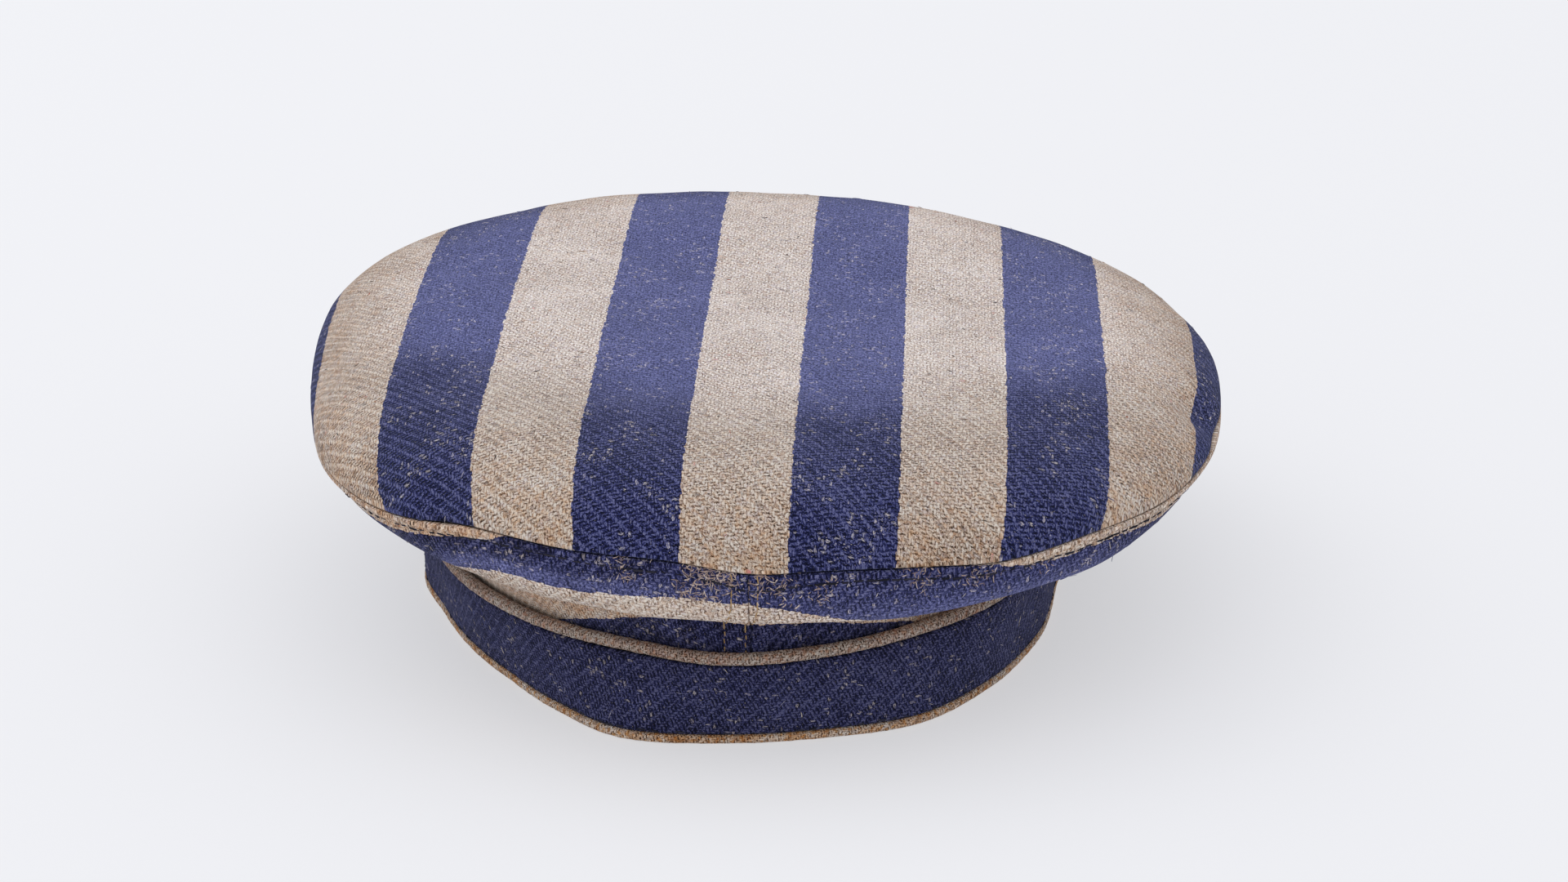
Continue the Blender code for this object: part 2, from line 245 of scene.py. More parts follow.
# Normals of a grid of points, outwards where rows run down and columns run round by azimuth
def gridNormals(grid, closed):
    if closed:
        across = np.roll(grid, -1, 1) - np.roll(grid, 1, 1)
    else:
        across = np.gradient(grid, axis=1)
    down = np.gradient(grid, axis=0)
    normals = np.cross(down, across)
    length = np.linalg.norm(normals, axis=-1, keepdims=True)
    return normals / np.maximum(length, 1e-12)


# Soft hand-made unevenness: a sum of noises, as (size, height) pairs in metres
def unevenness(grid, waves, seed):
    lift = np.zeros(grid.shape[:-1])
    for size, height in waves:
        points = grid.reshape(-1, 3) / size + seed
        found = [noise.noise(Vector(point)) for point in points]
        lift += height * np.array(found).reshape(lift.shape)
        seed += 7.3
    return lift


def dented(grid, dents):
    lift = np.zeros(grid.shape[:-1])
    for azimuth, radius, height, reach, depth in dents:
        centre = at(azimuth, radius, height)
        lift -= depth * hump(np.linalg.norm(grid - centre, axis=-1), 0.0, reach)
    return lift


def addObject(name, data):
    made = bpy.data.objects.new(name, data)
    bpy.context.scene.collection.objects.link(made)
    return made


# A closed shell of cloth between an outer and an inner grid of points. The cloth's pattern reads weave:
# metres across the stripes, metres along them and how worn and shaded it is (wear and painted shade); and
# stripe: the number of the stripe, even for blue, how much painted sheen lies on it, and 1 on the outer side.
def makeShell(name, outer, inner, weave, stripe, closed, material, pole=False):
    rows, columns = outer.shape[:2]
    count = rows * columns
    index = np.arange(count).reshape(rows, columns)
    ahead = np.roll(index, -1, 1) if closed else index[:, 1:]
    here = index if closed else index[:, :-1]
    quads = np.stack([here[:-1], here[1:], ahead[1:], ahead[:-1]], -1).reshape(-1, 4)
    faces = [quads, quads[:, ::-1] + count]
    edge, edgeAhead = here[-1], ahead[-1]
    faces.append(np.stack([edge, edge + count, edgeAhead + count, edgeAhead], -1))
    if not pole:
        edge, edgeAhead = here[0], ahead[0]
        faces.append(np.stack([edge, edgeAhead, edgeAhead + count, edge + count], -1))
    if not closed:
        start, end = index[:, 0], index[:, -1]
        faces.append(np.stack([start[:-1], start[:-1] + count, start[1:] + count, start[1:]], -1))
        faces.append(np.stack([end[:-1], end[1:], end[1:] + count, end[:-1] + count], -1))
    points = np.concatenate([outer.reshape(-1, 3), inner.reshape(-1, 3)]) + capShift
    faces = np.concatenate(faces)
    if pole:  # the first row is one point, on each side
        faces[faces < columns] = 0
        inside = (faces >= count) & (faces < count + columns)
        faces[inside] = count
    mesh = bpy.data.meshes.new(name)
    mesh.from_pydata(points.tolist(), [], [list(dict.fromkeys(face)) for face in faces.tolist()])
    for label, values in (("weave", weave), ("stripe", stripe)):
        both = np.tile(values.reshape(-1, 3), (2, 1)).astype(np.float32)
        if label == "stripe":
            both[:count, 2] = 1.0
        mesh.attributes.new(label, "FLOAT_VECTOR", "POINT").data.foreach_set("vector", both.ravel())
    if pole:
        dropLoose(mesh)
    mesh.shade_smooth()
    mesh.materials.append(material)
    return addObject(name, mesh)


def dropLoose(mesh):
    work = bmesh.new()
    work.from_mesh(mesh)
    for point in [point for point in work.verts if not point.link_faces]:
        work.verts.remove(point)
    work.to_mesh(mesh)
    work.free()


# Distance run along an axis of a grid
def runLength(grid, axis):
    steps = np.linalg.norm(np.diff(grid, axis=axis), axis=-1)
    start = np.zeros_like(np.take(steps, [0], axis=axis))
    return np.concatenate([start, np.cumsum(steps, axis=axis)], axis=axis)


# What comes out of a node. Sums, products and powers of such numbers add math nodes to the tree.
class Wire:
    def __init__(self, kit, socket):
        self.kit = kit
        self.socket = socket

    def __add__(self, other):
        return self.kit.math("ADD", self, other)

    def __sub__(self, other):
        return self.kit.math("SUBTRACT", self, other)

    def __rsub__(self, other):
        return self.kit.math("SUBTRACT", other, self)

    def __mul__(self, other):
        return self.kit.math("MULTIPLY", self, other)

    def __truediv__(self, other):
        return self.kit.math("DIVIDE", self, other)

    def __pow__(self, other):
        return self.kit.math("POWER", self, other)


# Adds nodes to a tree. A wire among the values is linked, anything else is set on the socket.
class NodeKit:
    def __init__(self, tree):
        self.tree = tree

    def feed(self, inputs, values):
        for name, value in values.items():
            if isinstance(value, Wire):
                self.tree.links.new(value.socket, inputs[name])
            elif inputs[name].type == "RGBA" and len(value) == 3:
                inputs[name].default_value = (*value, 1.0)
            else:
                inputs[name].default_value = value

    def add(self, kind, values=None, **settings):
        node = self.tree.nodes.new(kind)
        for name, value in settings.items():
            setattr(node, name, value)
        self.feed(node.inputs, values or {})
        return node

    def make(self, kind, values=None, output=0, **settings):  # one wire out of a new node
        return Wire(self, self.add(kind, values, **settings).outputs[output])

    def wires(self, kind, values=None, **settings):  # all of them, by name
        return {socket.name: Wire(self, socket) for socket in self.add(kind, values, **settings).outputs}

    def math(self, operation, *values, clamp=False):
        return self.make("ShaderNodeMath", dict(enumerate(values)), operation=operation, use_clamp=clamp)

    def vector(self, operation, *values):
        return self.make("ShaderNodeVectorMath", dict(enumerate(values)), operation=operation)

    def scaled(self, vector, factor):
        return self.make("ShaderNodeVectorMath", {0: vector, "Scale": factor}, operation="SCALE")

    def join(self, x=0.0, y=0.0, z=0.0):
        return self.make("ShaderNodeCombineXYZ", {0: x, 1: y, 2: z})

    def split(self, vector):
        return self.wires("ShaderNodeSeparateXYZ", {0: vector}).values()

    def blend(self, factor, first, second):  # numbers
        return self.make("ShaderNodeMix", {0: factor, 2: first, 3: second}, data_type="FLOAT")

    def tint(self, factor, first, second, how="MIX"):  # colours
        values = {0: factor, 6: first, 7: second}
        return self.make("ShaderNodeMix", values, 2, data_type="RGBA", blend_type=how)

    def step(self, value, low, high):  # a soft step from 0 to 1
        return self.make("ShaderNodeMapRange", {0: value, 1: low, 2: high}, interpolation_type="SMOOTHSTEP")

    def noise(self, place, scale, detail=2.0, roughness=0.5, distortion=0.0, output=0):
        return self.make("ShaderNodeTexNoise", {"Vector": place, "Scale": scale, "Detail": detail,
                                                "Roughness": roughness, "Distortion": distortion}, output)

    def random(self, low, high, seed):  # a number for each point or instance
        values = {2: low, 3: high, "Seed": seed}
        return self.make("FunctionNodeRandomValue", values, 1, data_type="FLOAT")

    def randomVector(self, reach, seed):
        values = {"Min": (-reach, -reach, -reach), "Max": (reach, reach, reach), "Seed": seed}
        return self.make("FunctionNodeRandomValue", values, data_type="FLOAT_VECTOR")

    def ramp(self, factor, stops):
        node = self.add("ShaderNodeValToRGB", {0: factor})
        points = node.color_ramp.elements
        while len(points) < len(stops):
            points.new(0.5)
        for point, (place, colour) in zip(points, stops):
            point.position = place
            point.color = (*colour, 1.0)
        return Wire(self, node.outputs[0])


# The twill: each yarn along the stripes goes over two across them and under two, one step on from its
# neighbour. A float is the piece of yarn that shows between two crossings.
twillLook = {
    "repeat": 4.0,             # yarns to one repeat
    "overLimit": 1.5,          # phases below it show the yarn along the stripes
    "roundness": 3.4,          # how fast a yarn falls off beside its middle line
    "arch": (0.5, 0.5),        # how far a float rises from its ends, and what it starts from
    "ownTwist": (0.37, 0.61),  # sets the strands of neighbouring yarns apart
    "twist": (0.9, 1.9, 3.0),  # strands: turn along a float, slant across it, weight of its own twist
    "strands": (0.5, 0.55),    # depth between the strands, and what is left in it
    "ribSharpness": 0.6,
    "streaks": (1.3, 5.0),     # how fine they are along a yarn and across it
    "streakNoise": (1.0, 2.0, 0.6),
    "streaksApart": 9.0,       # gives each float its own streaks
    "warpApart": 7.7,          # keeps the random numbers of both kinds of yarn apart
}


# Gives the height of yarns and ribs, random numbers for each float and streaks along the floats
def makeTwillGroup():
    look = twillLook
    tree = bpy.data.node_groups.new("twill", "ShaderNodeTree")
    for name, kind in (("Place", "Vector"), ("Pitch", "Vector"), ("Slant", "Float")):
        tree.interface.new_socket(name=name, in_out="INPUT", socket_type="NodeSocket" + kind)
    kit = NodeKit(tree)
    given = kit.wires("NodeGroupInput")
    across, along, _ = kit.split(kit.vector("DIVIDE", given["Place"], given["Pitch"]))
    along = along * given["Slant"]
    column = kit.math("FLOOR", across)
    row = kit.math("FLOOR", along)
    inColumn = across - column
    inRow = along - row
    crossing = column + row
    phase = kit.math("FLOORED_MODULO", crossing, look["repeat"])
    warp = kit.math("LESS_THAN", phase, look["overLimit"])
    # where on its float a point is, and how far from the yarn's middle line
    run = kit.blend(warp, (phase + inColumn - 2.0) * 0.5, (phase + inRow) * 0.5)
    offMiddle = kit.blend(warp, inRow, inColumn) - 0.5
    fall = 1.0 - offMiddle * offMiddle * look["roundness"]
    rise, foot = look["arch"]
    height = kit.math("SQRT", kit.math("MAXIMUM", fall, 0.0))
    height = height * (kit.math("SINE", run * math.pi) * rise + foot)
    # two strands twisted into each yarn
    turn, slant, own = look["twist"]
    ownColumn, ownRow = look["ownTwist"]
    twist = run * turn + (offMiddle * slant + (column * ownColumn + row * ownRow) * own)
    strand = kit.math("SQRT", kit.math("ABSOLUTE", kit.math("SINE", twist * math.pi)))
    depth, left = look["strands"]
    height = height * (strand * depth + left)
    # one rib for each repeat
    ribTurn = (across + along - 0.5) * (math.tau / look["repeat"])
    rib = (kit.math("SINE", ribTurn) * 0.5 + 0.5) ** look["ribSharpness"]
    floatNumber = kit.math("FLOOR", crossing / look["repeat"])
    floatPlace = kit.join(kit.blend(warp, row, column), floatNumber, warp * look["warpApart"])
    randoms = kit.wires("ShaderNodeTexWhiteNoise", {"Vector": floatPlace}, noise_dimensions="3D")
    long, fine = look["streaks"]
    streakPlace = kit.join(across * kit.blend(warp, long, fine), along * kit.blend(warp, fine, long),
                           randoms["Value"] * look["streaksApart"])
    others = kit.wires("ShaderNodeSeparateColor", {0: randoms["Color"]})
    streak = kit.noise(streakPlace, *look["streakNoise"])
    found = {"Height": height, "Rib": rib, "Warp": warp, "Streak": streak, "Random": randoms["Value"],
             "Random 2": others["Green"], "Random 3": others["Blue"]}
    for name in found:
        tree.interface.new_socket(name=name, in_out="OUTPUT", socket_type="NodeSocketFloat")
    kit.feed(kit.add("NodeGroupOutput").inputs, found)
    return tree


twillGroup = makeTwillGroup()

# The wool cloth: colours are linear, lengths in metres. Noises are scale, detail, roughness, distortion,
# and a pair called Step is where a soft step starts and ends.
clothLook = {
    "pitch": (0.00081, 0.00090, 1.0),   # one yarn, across the stripes and along them
    "slant": 1.0,            # which way the ribs lean
    "sway": ((110.0, 2.0, 0.0013), (650.0, 1.0, 0.0007)),  # waves in the yarns: scale, detail, reach
    "stripe": 0.0250,        # width of a stripe
    "firstEdge": 0.0091,     # where a blue stripe starts
    "ragged": 0.018,         # how uneven a stripe's edge is, as a share of its width
    "edgeNoise": (260.0, 2.0),
    "blue": ((0.0, (0.004, 0.005, 0.019)), (0.25, (0.009, 0.011, 0.043)), (0.50, (0.021, 0.024, 0.092)),
             (0.72, (0.050, 0.055, 0.168)), (1.0, (0.145, 0.150, 0.290))),
    "grey": ((0.0, (0.046, 0.031, 0.023)), (0.25, (0.215, 0.152, 0.111)), (0.50, (0.455, 0.352, 0.278)),
             (0.75, (0.620, 0.520, 0.440)), (1.0, (0.780, 0.720, 0.650))),
    "contrast": 1.85,
    "greyLift": 0.14,        # how much higher the grey sits on its ramp
    "weft": 0.20,            # how much lighter the yarns across the stripes are
    "ribs": 0.50,            # painted shade in the valleys: how much lighter the ribs are than the valleys between them
    "ribMiddle": 0.65,       # heights that count as neither light nor dark
    "yarnMiddle": 0.36,
    "napOnRibs": -0.55,      # painted sheen hides the ribs and evens out the tones
    "napOnTones": -0.08,
    "ownTone": 0.18,         # weights of each float's own tone, streaks, fuzz, patches and round yarns
    "streaks": 0.70,
    "fuzziness": 1.00,
    "patchiness": 0.30,
    # round yarns: painted highlight on their middles, painted shade on their sides and in the gaps
    "roundness": 0.50,
    "greyShare": (0.35, 0.3, 0.5),      # how much of own tone, weft and ribs the grey shows
    "fuzz": (2200.0, 2.0, 0.65, 0.5),
    "fuzzLift": 0.9,
    "patches": (42.0, 3.0, 0.55),
    "fleck": (0.80, 0.70, 0.62),
    "flecks": 0.045,         # share of the blue floats that carry a pale fibre
    "fleckDensity": 4.0,     # how many times denser they lie in a drift
    "fleckStrength": 0.70,
    "drift": (75.0, 2.0, 0.6),          # flecks and specks lie in drifts
    "fleckStep": (0.36, 0.70),
    "coreStep": (0.45, 0.85),
    "streakStep": (0.44, 0.60),
    "specks": 0.13,          # how readily fine pale specks show among the blue
    "speckStep": (0.30, 0.75),
    "speckLevel": 0.77,
    "speckEdge": 0.05,
    "speckStrength": 0.52,
    "grit": (1900.0, 1.0),
    "gritStretch": (1.0, 1.5, 1.0),
    # dark, brown and red fibres among the grey: middle and reach of the float's random number, step in
    # the fuzz, strength, colour
    "oddFibres": ((0.0275, 0.0275, (0.44, 0.60), 0.80, (0.070, 0.055, 0.060)),
                  (0.2, 0.020, (0.0, 0.1), 0.45, (0.36, 0.20, 0.11)),
                  (0.3, 0.0010, (0.46, 0.56), 0.75, (0.50, 0.06, 0.05))),
    "hue": (900.0, 1.0),
    "warmYarn": (0.95, 0.82, 0.70),
    "warmStep": (0.50, 0.66),
    "warmWear": (1.2, 0.25),  # warm with wear and with the painted shade in the ring's fold, and everywhere
    "coolYarn": (0.88, 0.87, 0.93),
    "coolStep": (0.52, 0.68),
    # dark pits: painted shade where the yarns sink low among the grey
    "pits": 0.50,
    "pit": (0.050, 0.030, 0.024),
    "pitDepthStep": (0.10, 0.34),
    "pitStep": (0.40, 0.60),
    "nap": (0.136, 0.146, 0.290),   # painted sheen, added to the blue's colour on the crown's flat top, the ring's crest and the band
    "greyNap": (1.30, 1.34, 1.42),  # painted sheen on the grey, multiplied in
    # the painted sheen lies in patches
    "tufts": (1100.0, 2.0, 0.7),
    "tuftStep": (0.36, 0.64),
    "tuftRange": (0.20, 0.80),
    "stain": (0.82, 0.88, 1.00),    # multiplied in where the blue is worn, and as painted shade in the ring's front fold
    "greyStain": (0.90, 0.72, 0.56),
    "grime": (160.0, 4.0, 0.65),
    "grimeStep": (0.30, 0.70),
    "brightness": 1.0,
    "relief": 0.00042,
    "reliefShares": (0.18, 0.8, 1.2),   # of ribs, yarns and fuzz
    "sheen": 0.16,
    "sheenTint": (0.80, 0.87, 1.0),
}


def newMaterial(name):  # with a kit for its nodes and the sockets of its shader
    material = bpy.data.materials.new(name)
    material.use_nodes = True
    shader = material.node_tree.nodes["Principled BSDF"]
    return material, NodeKit(material.node_tree), shader.inputs


def makeCloth(name, **changes):
    look = dict(clothLook, **changes)
    material, kit, shader = newMaterial(name)
    across, along, wear = kit.split(kit.make("ShaderNodeAttribute", output="Vector", attribute_name="weave"))
    number, nap, _ = kit.split(kit.make("ShaderNodeAttribute", output="Vector", attribute_name="stripe"))
    place = kit.join(across, along)  # without the wear, which must not move the noises
    swayed = place
    for scale, detail, reach in look["sway"]:
        off = kit.vector("SUBTRACT", kit.noise(place, scale, detail, output="Color"), (0.5, 0.5, 0.5))
        swayed = kit.vector("ADD", kit.vector("MULTIPLY", off, (reach, reach, 0.0)), swayed)
    twill = kit.wires("ShaderNodeGroup", {"Place": swayed, "Pitch": look["pitch"], "Slant": look["slant"]},
                      node_tree=twillGroup)

    # stripes: blue where the number is even, with single yarns crossing over at the edges
    number = (twill["Random 3"] - 0.5) * look["ragged"] + number
    number = (kit.noise(place, *look["edgeNoise"]) - 0.5) * (look["ragged"] * 2) + number
    isGrey = kit.math("FLOORED_MODULO", kit.math("FLOOR", number), 2.0)

    # light and dark of the yarns and their fibres, with painted shade in the rib valleys and between the
    # yarns
    fuzz = kit.noise(place, *look["fuzz"])
    ragged = (fuzz - 0.5) * look["fuzzLift"] + twill["Height"]
    toneShare, weftShare, ribShare = (kit.blend(isGrey, 1.0, share) for share in look["greyShare"])
    ownTone = (twill["Random"] - 0.5) * toneShare
    weft = (0.5 - twill["Warp"]) * weftShare
    ribs = (twill["Rib"] - look["ribMiddle"]) * ribShare
    ribs = ribs * (kit.math("MINIMUM", nap, 1.0) * look["napOnRibs"] + 1.0)
    patches = kit.noise(place, *look["patches"])
    shade = 0.5
    for value, middle, weight in (
            (ownTone, 0.0, "ownTone"), (weft, 0.0, "weft"), (twill["Streak"], 0.5, "streaks"),
            (fuzz, 0.5, "fuzziness"), (patches, 0.5, "patchiness"), (ribs, 0.0, "ribs"),
            (ragged * ragged, look["yarnMiddle"], "roundness")):
        shade = (value - middle) * (look[weight] * look["contrast"]) + shade
    shade = (shade - 0.5) * (kit.math("MINIMUM", nap, 1.2) * look["napOnTones"] + 1.0) + 0.5
    blue = kit.ramp(shade, look["blue"])
    grey = kit.ramp(shade + look["greyLift"], look["grey"])

    # pale fibres among the blue: on whole floats, and fine specks
    drift = kit.noise(place, *look["drift"])
    limit = 1.0 - kit.step(drift, *look["fleckStep"]) * (look["flecks"] * look["fleckDensity"])
    core = kit.step(twill["Height"], *look["coreStep"])
    streak = kit.step(twill["Streak"], *look["streakStep"])
    pale = kit.math("GREATER_THAN", twill["Random 2"], limit) * core * streak
    blue = kit.tint(pale * look["fleckStrength"], blue, look["fleck"])
    grit = kit.noise(kit.vector("MULTIPLY", place, look["gritStretch"]), *look["grit"])
    limit = look["speckLevel"] - kit.step(drift, *look["speckStep"]) * look["specks"]
    speck = kit.step(grit - limit, 0.0, look["speckEdge"])
    blue = kit.tint(speck * look["speckStrength"], blue, look["fleck"])
    # odd fibres, warm and cool yarns and dark pits among the grey, the pits painted shade where the yarns
    # sink
    for middle, reach, fuzzStep, strength, fibre in look["oddFibres"]:
        odd = kit.math("COMPARE", twill["Random 2"], middle, reach) * core * kit.step(fuzz, *fuzzStep)
        grey = kit.tint(odd * strength, grey, fibre)
    hues = kit.wires("ShaderNodeSeparateColor", {0: kit.noise(place, *look["hue"], output="Color")})
    warm = kit.step(hues["Red"], *look["warmStep"])
    withWear, everywhere = look["warmWear"]
    warm = kit.math("MULTIPLY", warm, wear * withWear + everywhere, clamp=True)
    grey = kit.tint(warm, grey, look["warmYarn"], "MULTIPLY")
    grey = kit.tint(kit.step(hues["Green"], *look["coolStep"]), grey, look["coolYarn"], "MULTIPLY")
    pit = (1.0 - kit.step(ragged, *look["pitDepthStep"])) * kit.step(hues["Blue"], *look["pitStep"])
    grey = kit.tint(pit * look["pits"], grey, look["pit"])
    colour = kit.tint(isGrey, blue, grey)

    # painted sheen, dirt and wear, and painted shade in the ring's front fold
    tufts = kit.blend(kit.step(kit.noise(place, *look["tufts"]), *look["tuftStep"]), *look["tuftRange"])
    haze = kit.math("MULTIPLY", nap * tufts, 1.0 - isGrey, clamp=True)
    colour = kit.tint(haze, colour, look["nap"], "ADD")
    colour = kit.tint(kit.math("MULTIPLY", nap, isGrey, clamp=True), colour, look["greyNap"], "MULTIPLY")
    grime = kit.step(kit.noise(place, *look["grime"]), *look["grimeStep"])
    stain = kit.tint(isGrey, look["stain"], look["greyStain"])
    colour = kit.tint(kit.math("MULTIPLY", wear, grime, clamp=True), colour, stain, "MULTIPLY")
    colour = kit.tint(1.0, colour, (look["brightness"],) * 3, "MULTIPLY")

    ribHeight, yarnHeight, fuzzHeight = look["reliefShares"]
    height = fuzz * fuzzHeight + (twill["Rib"] * ribHeight + twill["Height"] * yarnHeight)
    bump = kit.make("ShaderNodeBump", {"Height": height, "Distance": look["relief"], "Strength": 1.0})
    kit.feed(shader, {
        "Base Color": colour, "Normal": bump, "Roughness": 0.95, "Specular IOR Level": 0.12,
        "Sheen Weight": look["sheen"], "Sheen Roughness": 0.12, "Sheen Tint": look["sheenTint"]})
    return material


# Crown
crownLook = {
    "around": 320,
    "rows": 92,
    "rollRows": 7,
    "fineSteps": 4000,
    "waves": ((0.060, 0.0016), (0.028, 0.0006), (0.011, 0.00022)),
    "calmEdge": (0.006, 0.35),    # within this distance of the seam the waves fall to this share
    "wear": (0.90, 0.10),         # at the seam, and everywhere: darker and warmer towards the seam
    "edgeDirt": 0.020,
    "nap": 1.0,
    "frontStep": (0.15, 0.75),    # where the front starts, by the azimuth's cosine
    "napBack": (0.72, 0.98),      # shares of the radius between which the painted sheen ends
    "napFront": (0.40, 0.74),
    # azimuth, radius, height, reach, depth
    "dents": ((76.0, 0.112, 0.0600, 0.008, 0.0030), (-36.0, 0.121, 0.0580, 0.009, 0.0016)),
}


# Shares of the crown's radius that lie evenly spaced down its surface
def evenShares(count):
    fine = 1 - (1 - np.linspace(0, 1, crownLook["fineSteps"])) ** 3  # closer towards the seam
    run = sum(runLength(crownPoint(np.full(len(fine), azimuth), fine), 0) for azimuth in (0.0, 180.0))
    return np.interp(np.linspace(0, run[-1], count), run, fine)


# Turns the cloth's edge in towards a seam, from where its upright collar starts
def edgeRoll(azimuth, count, side):
    seamR, seamZ = seamEdge(azimuth)
    roll = capSizes["seamRoll"]
    start = seamZ + side * (capSizes["gap"] / 2 + roll)
    turns = np.linspace(0, math.pi / 2, count + 1)[1:, None]
    return at(azimuth[None, :], seamR - roll * (1 - np.cos(turns)), start - side * roll * np.sin(turns))


def makeCrown(material):
    look = crownLook
    azimuth = np.linspace(-180, 180, look["around"] + 1)[:-1]
    share = evenShares(look["rows"])
    surface = crownPoint(azimuth[None, :], share[:, None])
    drop = np.linspace(0, capSizes["collar"], look["rollRows"] + 1)[1:, None, None]
    base = np.concatenate([surface, surface[-1:] - drop * (0, 0, 1)])
    outer = np.concatenate([surface, edgeRoll(azimuth, look["rollRows"], 1.0)])
    normals = gridNormals(base, True)
    normals[0] = (0, 0, 1)
    run = runLength(base, 0)
    fromSeam = run[-1:] - run
    calmReach, calmShare = look["calmEdge"]
    calm = mix(calmShare, 1.0, smooth(0.0, calmReach, fromSeam))
    lift = unevenness(base, look["waves"], seed=3.1) * calm + dented(base, look["dents"])
    lift[0] = lift[0].mean()
    outer = outer + normals * lift[..., None]
    inner = base + normals * (lift - capSizes["cloth"])[..., None]

    # the cloth lies flat on top and gives way a little over the shoulder
    turn = np.radians(azimuth)[None, :]
    radius = np.hypot(base[..., 0], base[..., 1])
    extra = run - radius
    across = (radius + extra * np.abs(np.sin(turn))) * np.sin(turn)
    along = -(radius + extra * np.abs(np.cos(turn))) * np.cos(turn)
    atSeam, everywhere = look["wear"]
    wear = atSeam * np.exp(-(fromSeam / look["edgeDirt"])) + everywhere
    number = (across - clothLook["firstEdge"]) / clothLook["stripe"]
    flat = np.concatenate([share, np.ones(look["rollRows"])])[:, None]
    # painted sheen on the flat top, ending nearer the middle at the front
    frontness = smooth(*look["frontStep"], np.cos(turn))
    napEnds = [mix(back, front, frontness) for back, front in zip(look["napBack"], look["napFront"])]
    nap = look["nap"] * (1 - smooth(*napEnds, flat)) + 0 * across
    stripe = np.stack([number, nap, 0 * nap], -1)
    weave = np.stack([across, along, wear], -1)
    return makeShell("crown_cloth", outer, inner, weave, stripe, True, material, pole=True)


# Ring halves
ringGrids = []  # azimuths, depths under the crown seam, points and normals of each half's outer side

ringLook = {
    "along": 210,
    "rows": 64,
    "rollRows": 6,
    "sectionSteps": 240,
    "rowEasing": 1.25,         # rows lie closer together near the crown seam
    "waves": ((0.040, 0.0009), (0.014, 0.0003)),
    "calmSeam": 0.004,         # the waves start this far from the crown seam
    "calmTail": (0.006, 0.016),
    # azimuth, then the depths under the crown seam of three edges: grey to blue, blue to grey, grey to blue
    "stripeEdges": (
        (-180, -0.0100, 0.0085, 0.0330), (-175, -0.0100, 0.0080, 0.0300), (-166, -0.0080, 0.0075, 0.0430),
        (-158, -0.0010, 0.0080, 0.0510), (-148, 0.0010, 0.0120, 0.0555), (-136, 0.0018, 0.0300, 0.0600),
        (-119, 0.0060, 0.0440, 0.0680), (-90, 0.0046, 0.0400, 0.0650), (-60, 0.0045, 0.0360, 0.0600),
        (-44, 0.0042, 0.0220, 0.0520), (-35, 0.0030, 0.0120, 0.0500), (-30, 0.0024, 0.0100, 0.0480),
        (-26, -0.0010, 0.0095, 0.0455), (-22, -0.0100, 0.0100, 0.0439), (-12, -0.0140, 0.0092, 0.0385),
        (-4, -0.0140, 0.0076, 0.0348), (0, -0.0140, 0.0070, 0.0345), (4, -0.0140, 0.0085, 0.0350),
        (12, -0.0120, 0.0126, 0.0380), (18, -0.0080, 0.0140, 0.0410), (26, -0.0005, 0.0150, 0.0440),
        (32, 0.0018, 0.0165, 0.0470), (38, 0.0033, 0.0200, 0.0500), (46, 0.0029, 0.0240, 0.0540),
        (54, 0.0040, 0.0300, 0.0560), (90, 0.0048, 0.0360, 0.0610), (140, 0.0070, 0.0250, 0.0520),
        (150, 0.0050, 0.0140, 0.0510), (156, 0.0018, 0.0120, 0.0460), (162, -0.0020, 0.0100, 0.0455),
        (170, -0.0080, 0.0092, 0.0435), (176, -0.0100, 0.0090, 0.0400), (180, -0.0100, 0.0088, 0.0353)),
    "stitchDrop": 0.0029,      # topstitching under the crown seam, and the valley that it pulls in
    "stitchValley": 0.00035,
    "valleyWidth": 0.0008,
    "seamEase": 0.0012,        # how far from the end seams the cloth dips in
    "seamDip": 0.0008,
    "dipTail": 0.003,          # the dip ends this far above the lower edge
    "seamRadius": 0.110,       # the ring's radius, near enough for turning lengths into degrees
    "clearance": 0.00002,      # between the halves, where the band is narrowest
    "narrowest": 0.8,
    "stretch": 0.92,           # cloth to each length of the seam
    "rightFront": (34, 20),    # azimuth and reach of a place with more painted sheen, and of a worn one with less
    "leftFront": (-34, 26),
    "nap": 0.35,
    "napCrest": (0.28, 0.14),  # where the painted sheen lies on the crest, as shares of the depth
    "napSides": (4.0, 0.9),    # more at the front right, less at the front left
    "haze": (1.1, 0.0018, 0.0024),       # painted highlight, a pale line over the grey stripe, front left: strength, rise, reach
    # painted shade deep in the front fold: depths where it comes in, and azimuths where it fades out
    "foldDepth": (0.022, 0.034),
    "foldAzimuth": (30, 60),
    "wear": (0.20, 0.4, 0.8, 0.80),      # everywhere, at the crown seam, painted shade deep in the front fold, front left
    "wearReach": 0.006,
}


def seamColumns(start, end, count):
    ease = math.degrees(ringLook["seamEase"] / ringLook["seamRadius"])
    near = ease * np.array([0.0, 0.04, 0.12, 0.25, 0.42, 0.65, 1.0])
    middle = np.linspace(start + ease, end - ease, count)[1:-1]
    return np.concatenate([start + near, middle, end - near[::-1]])


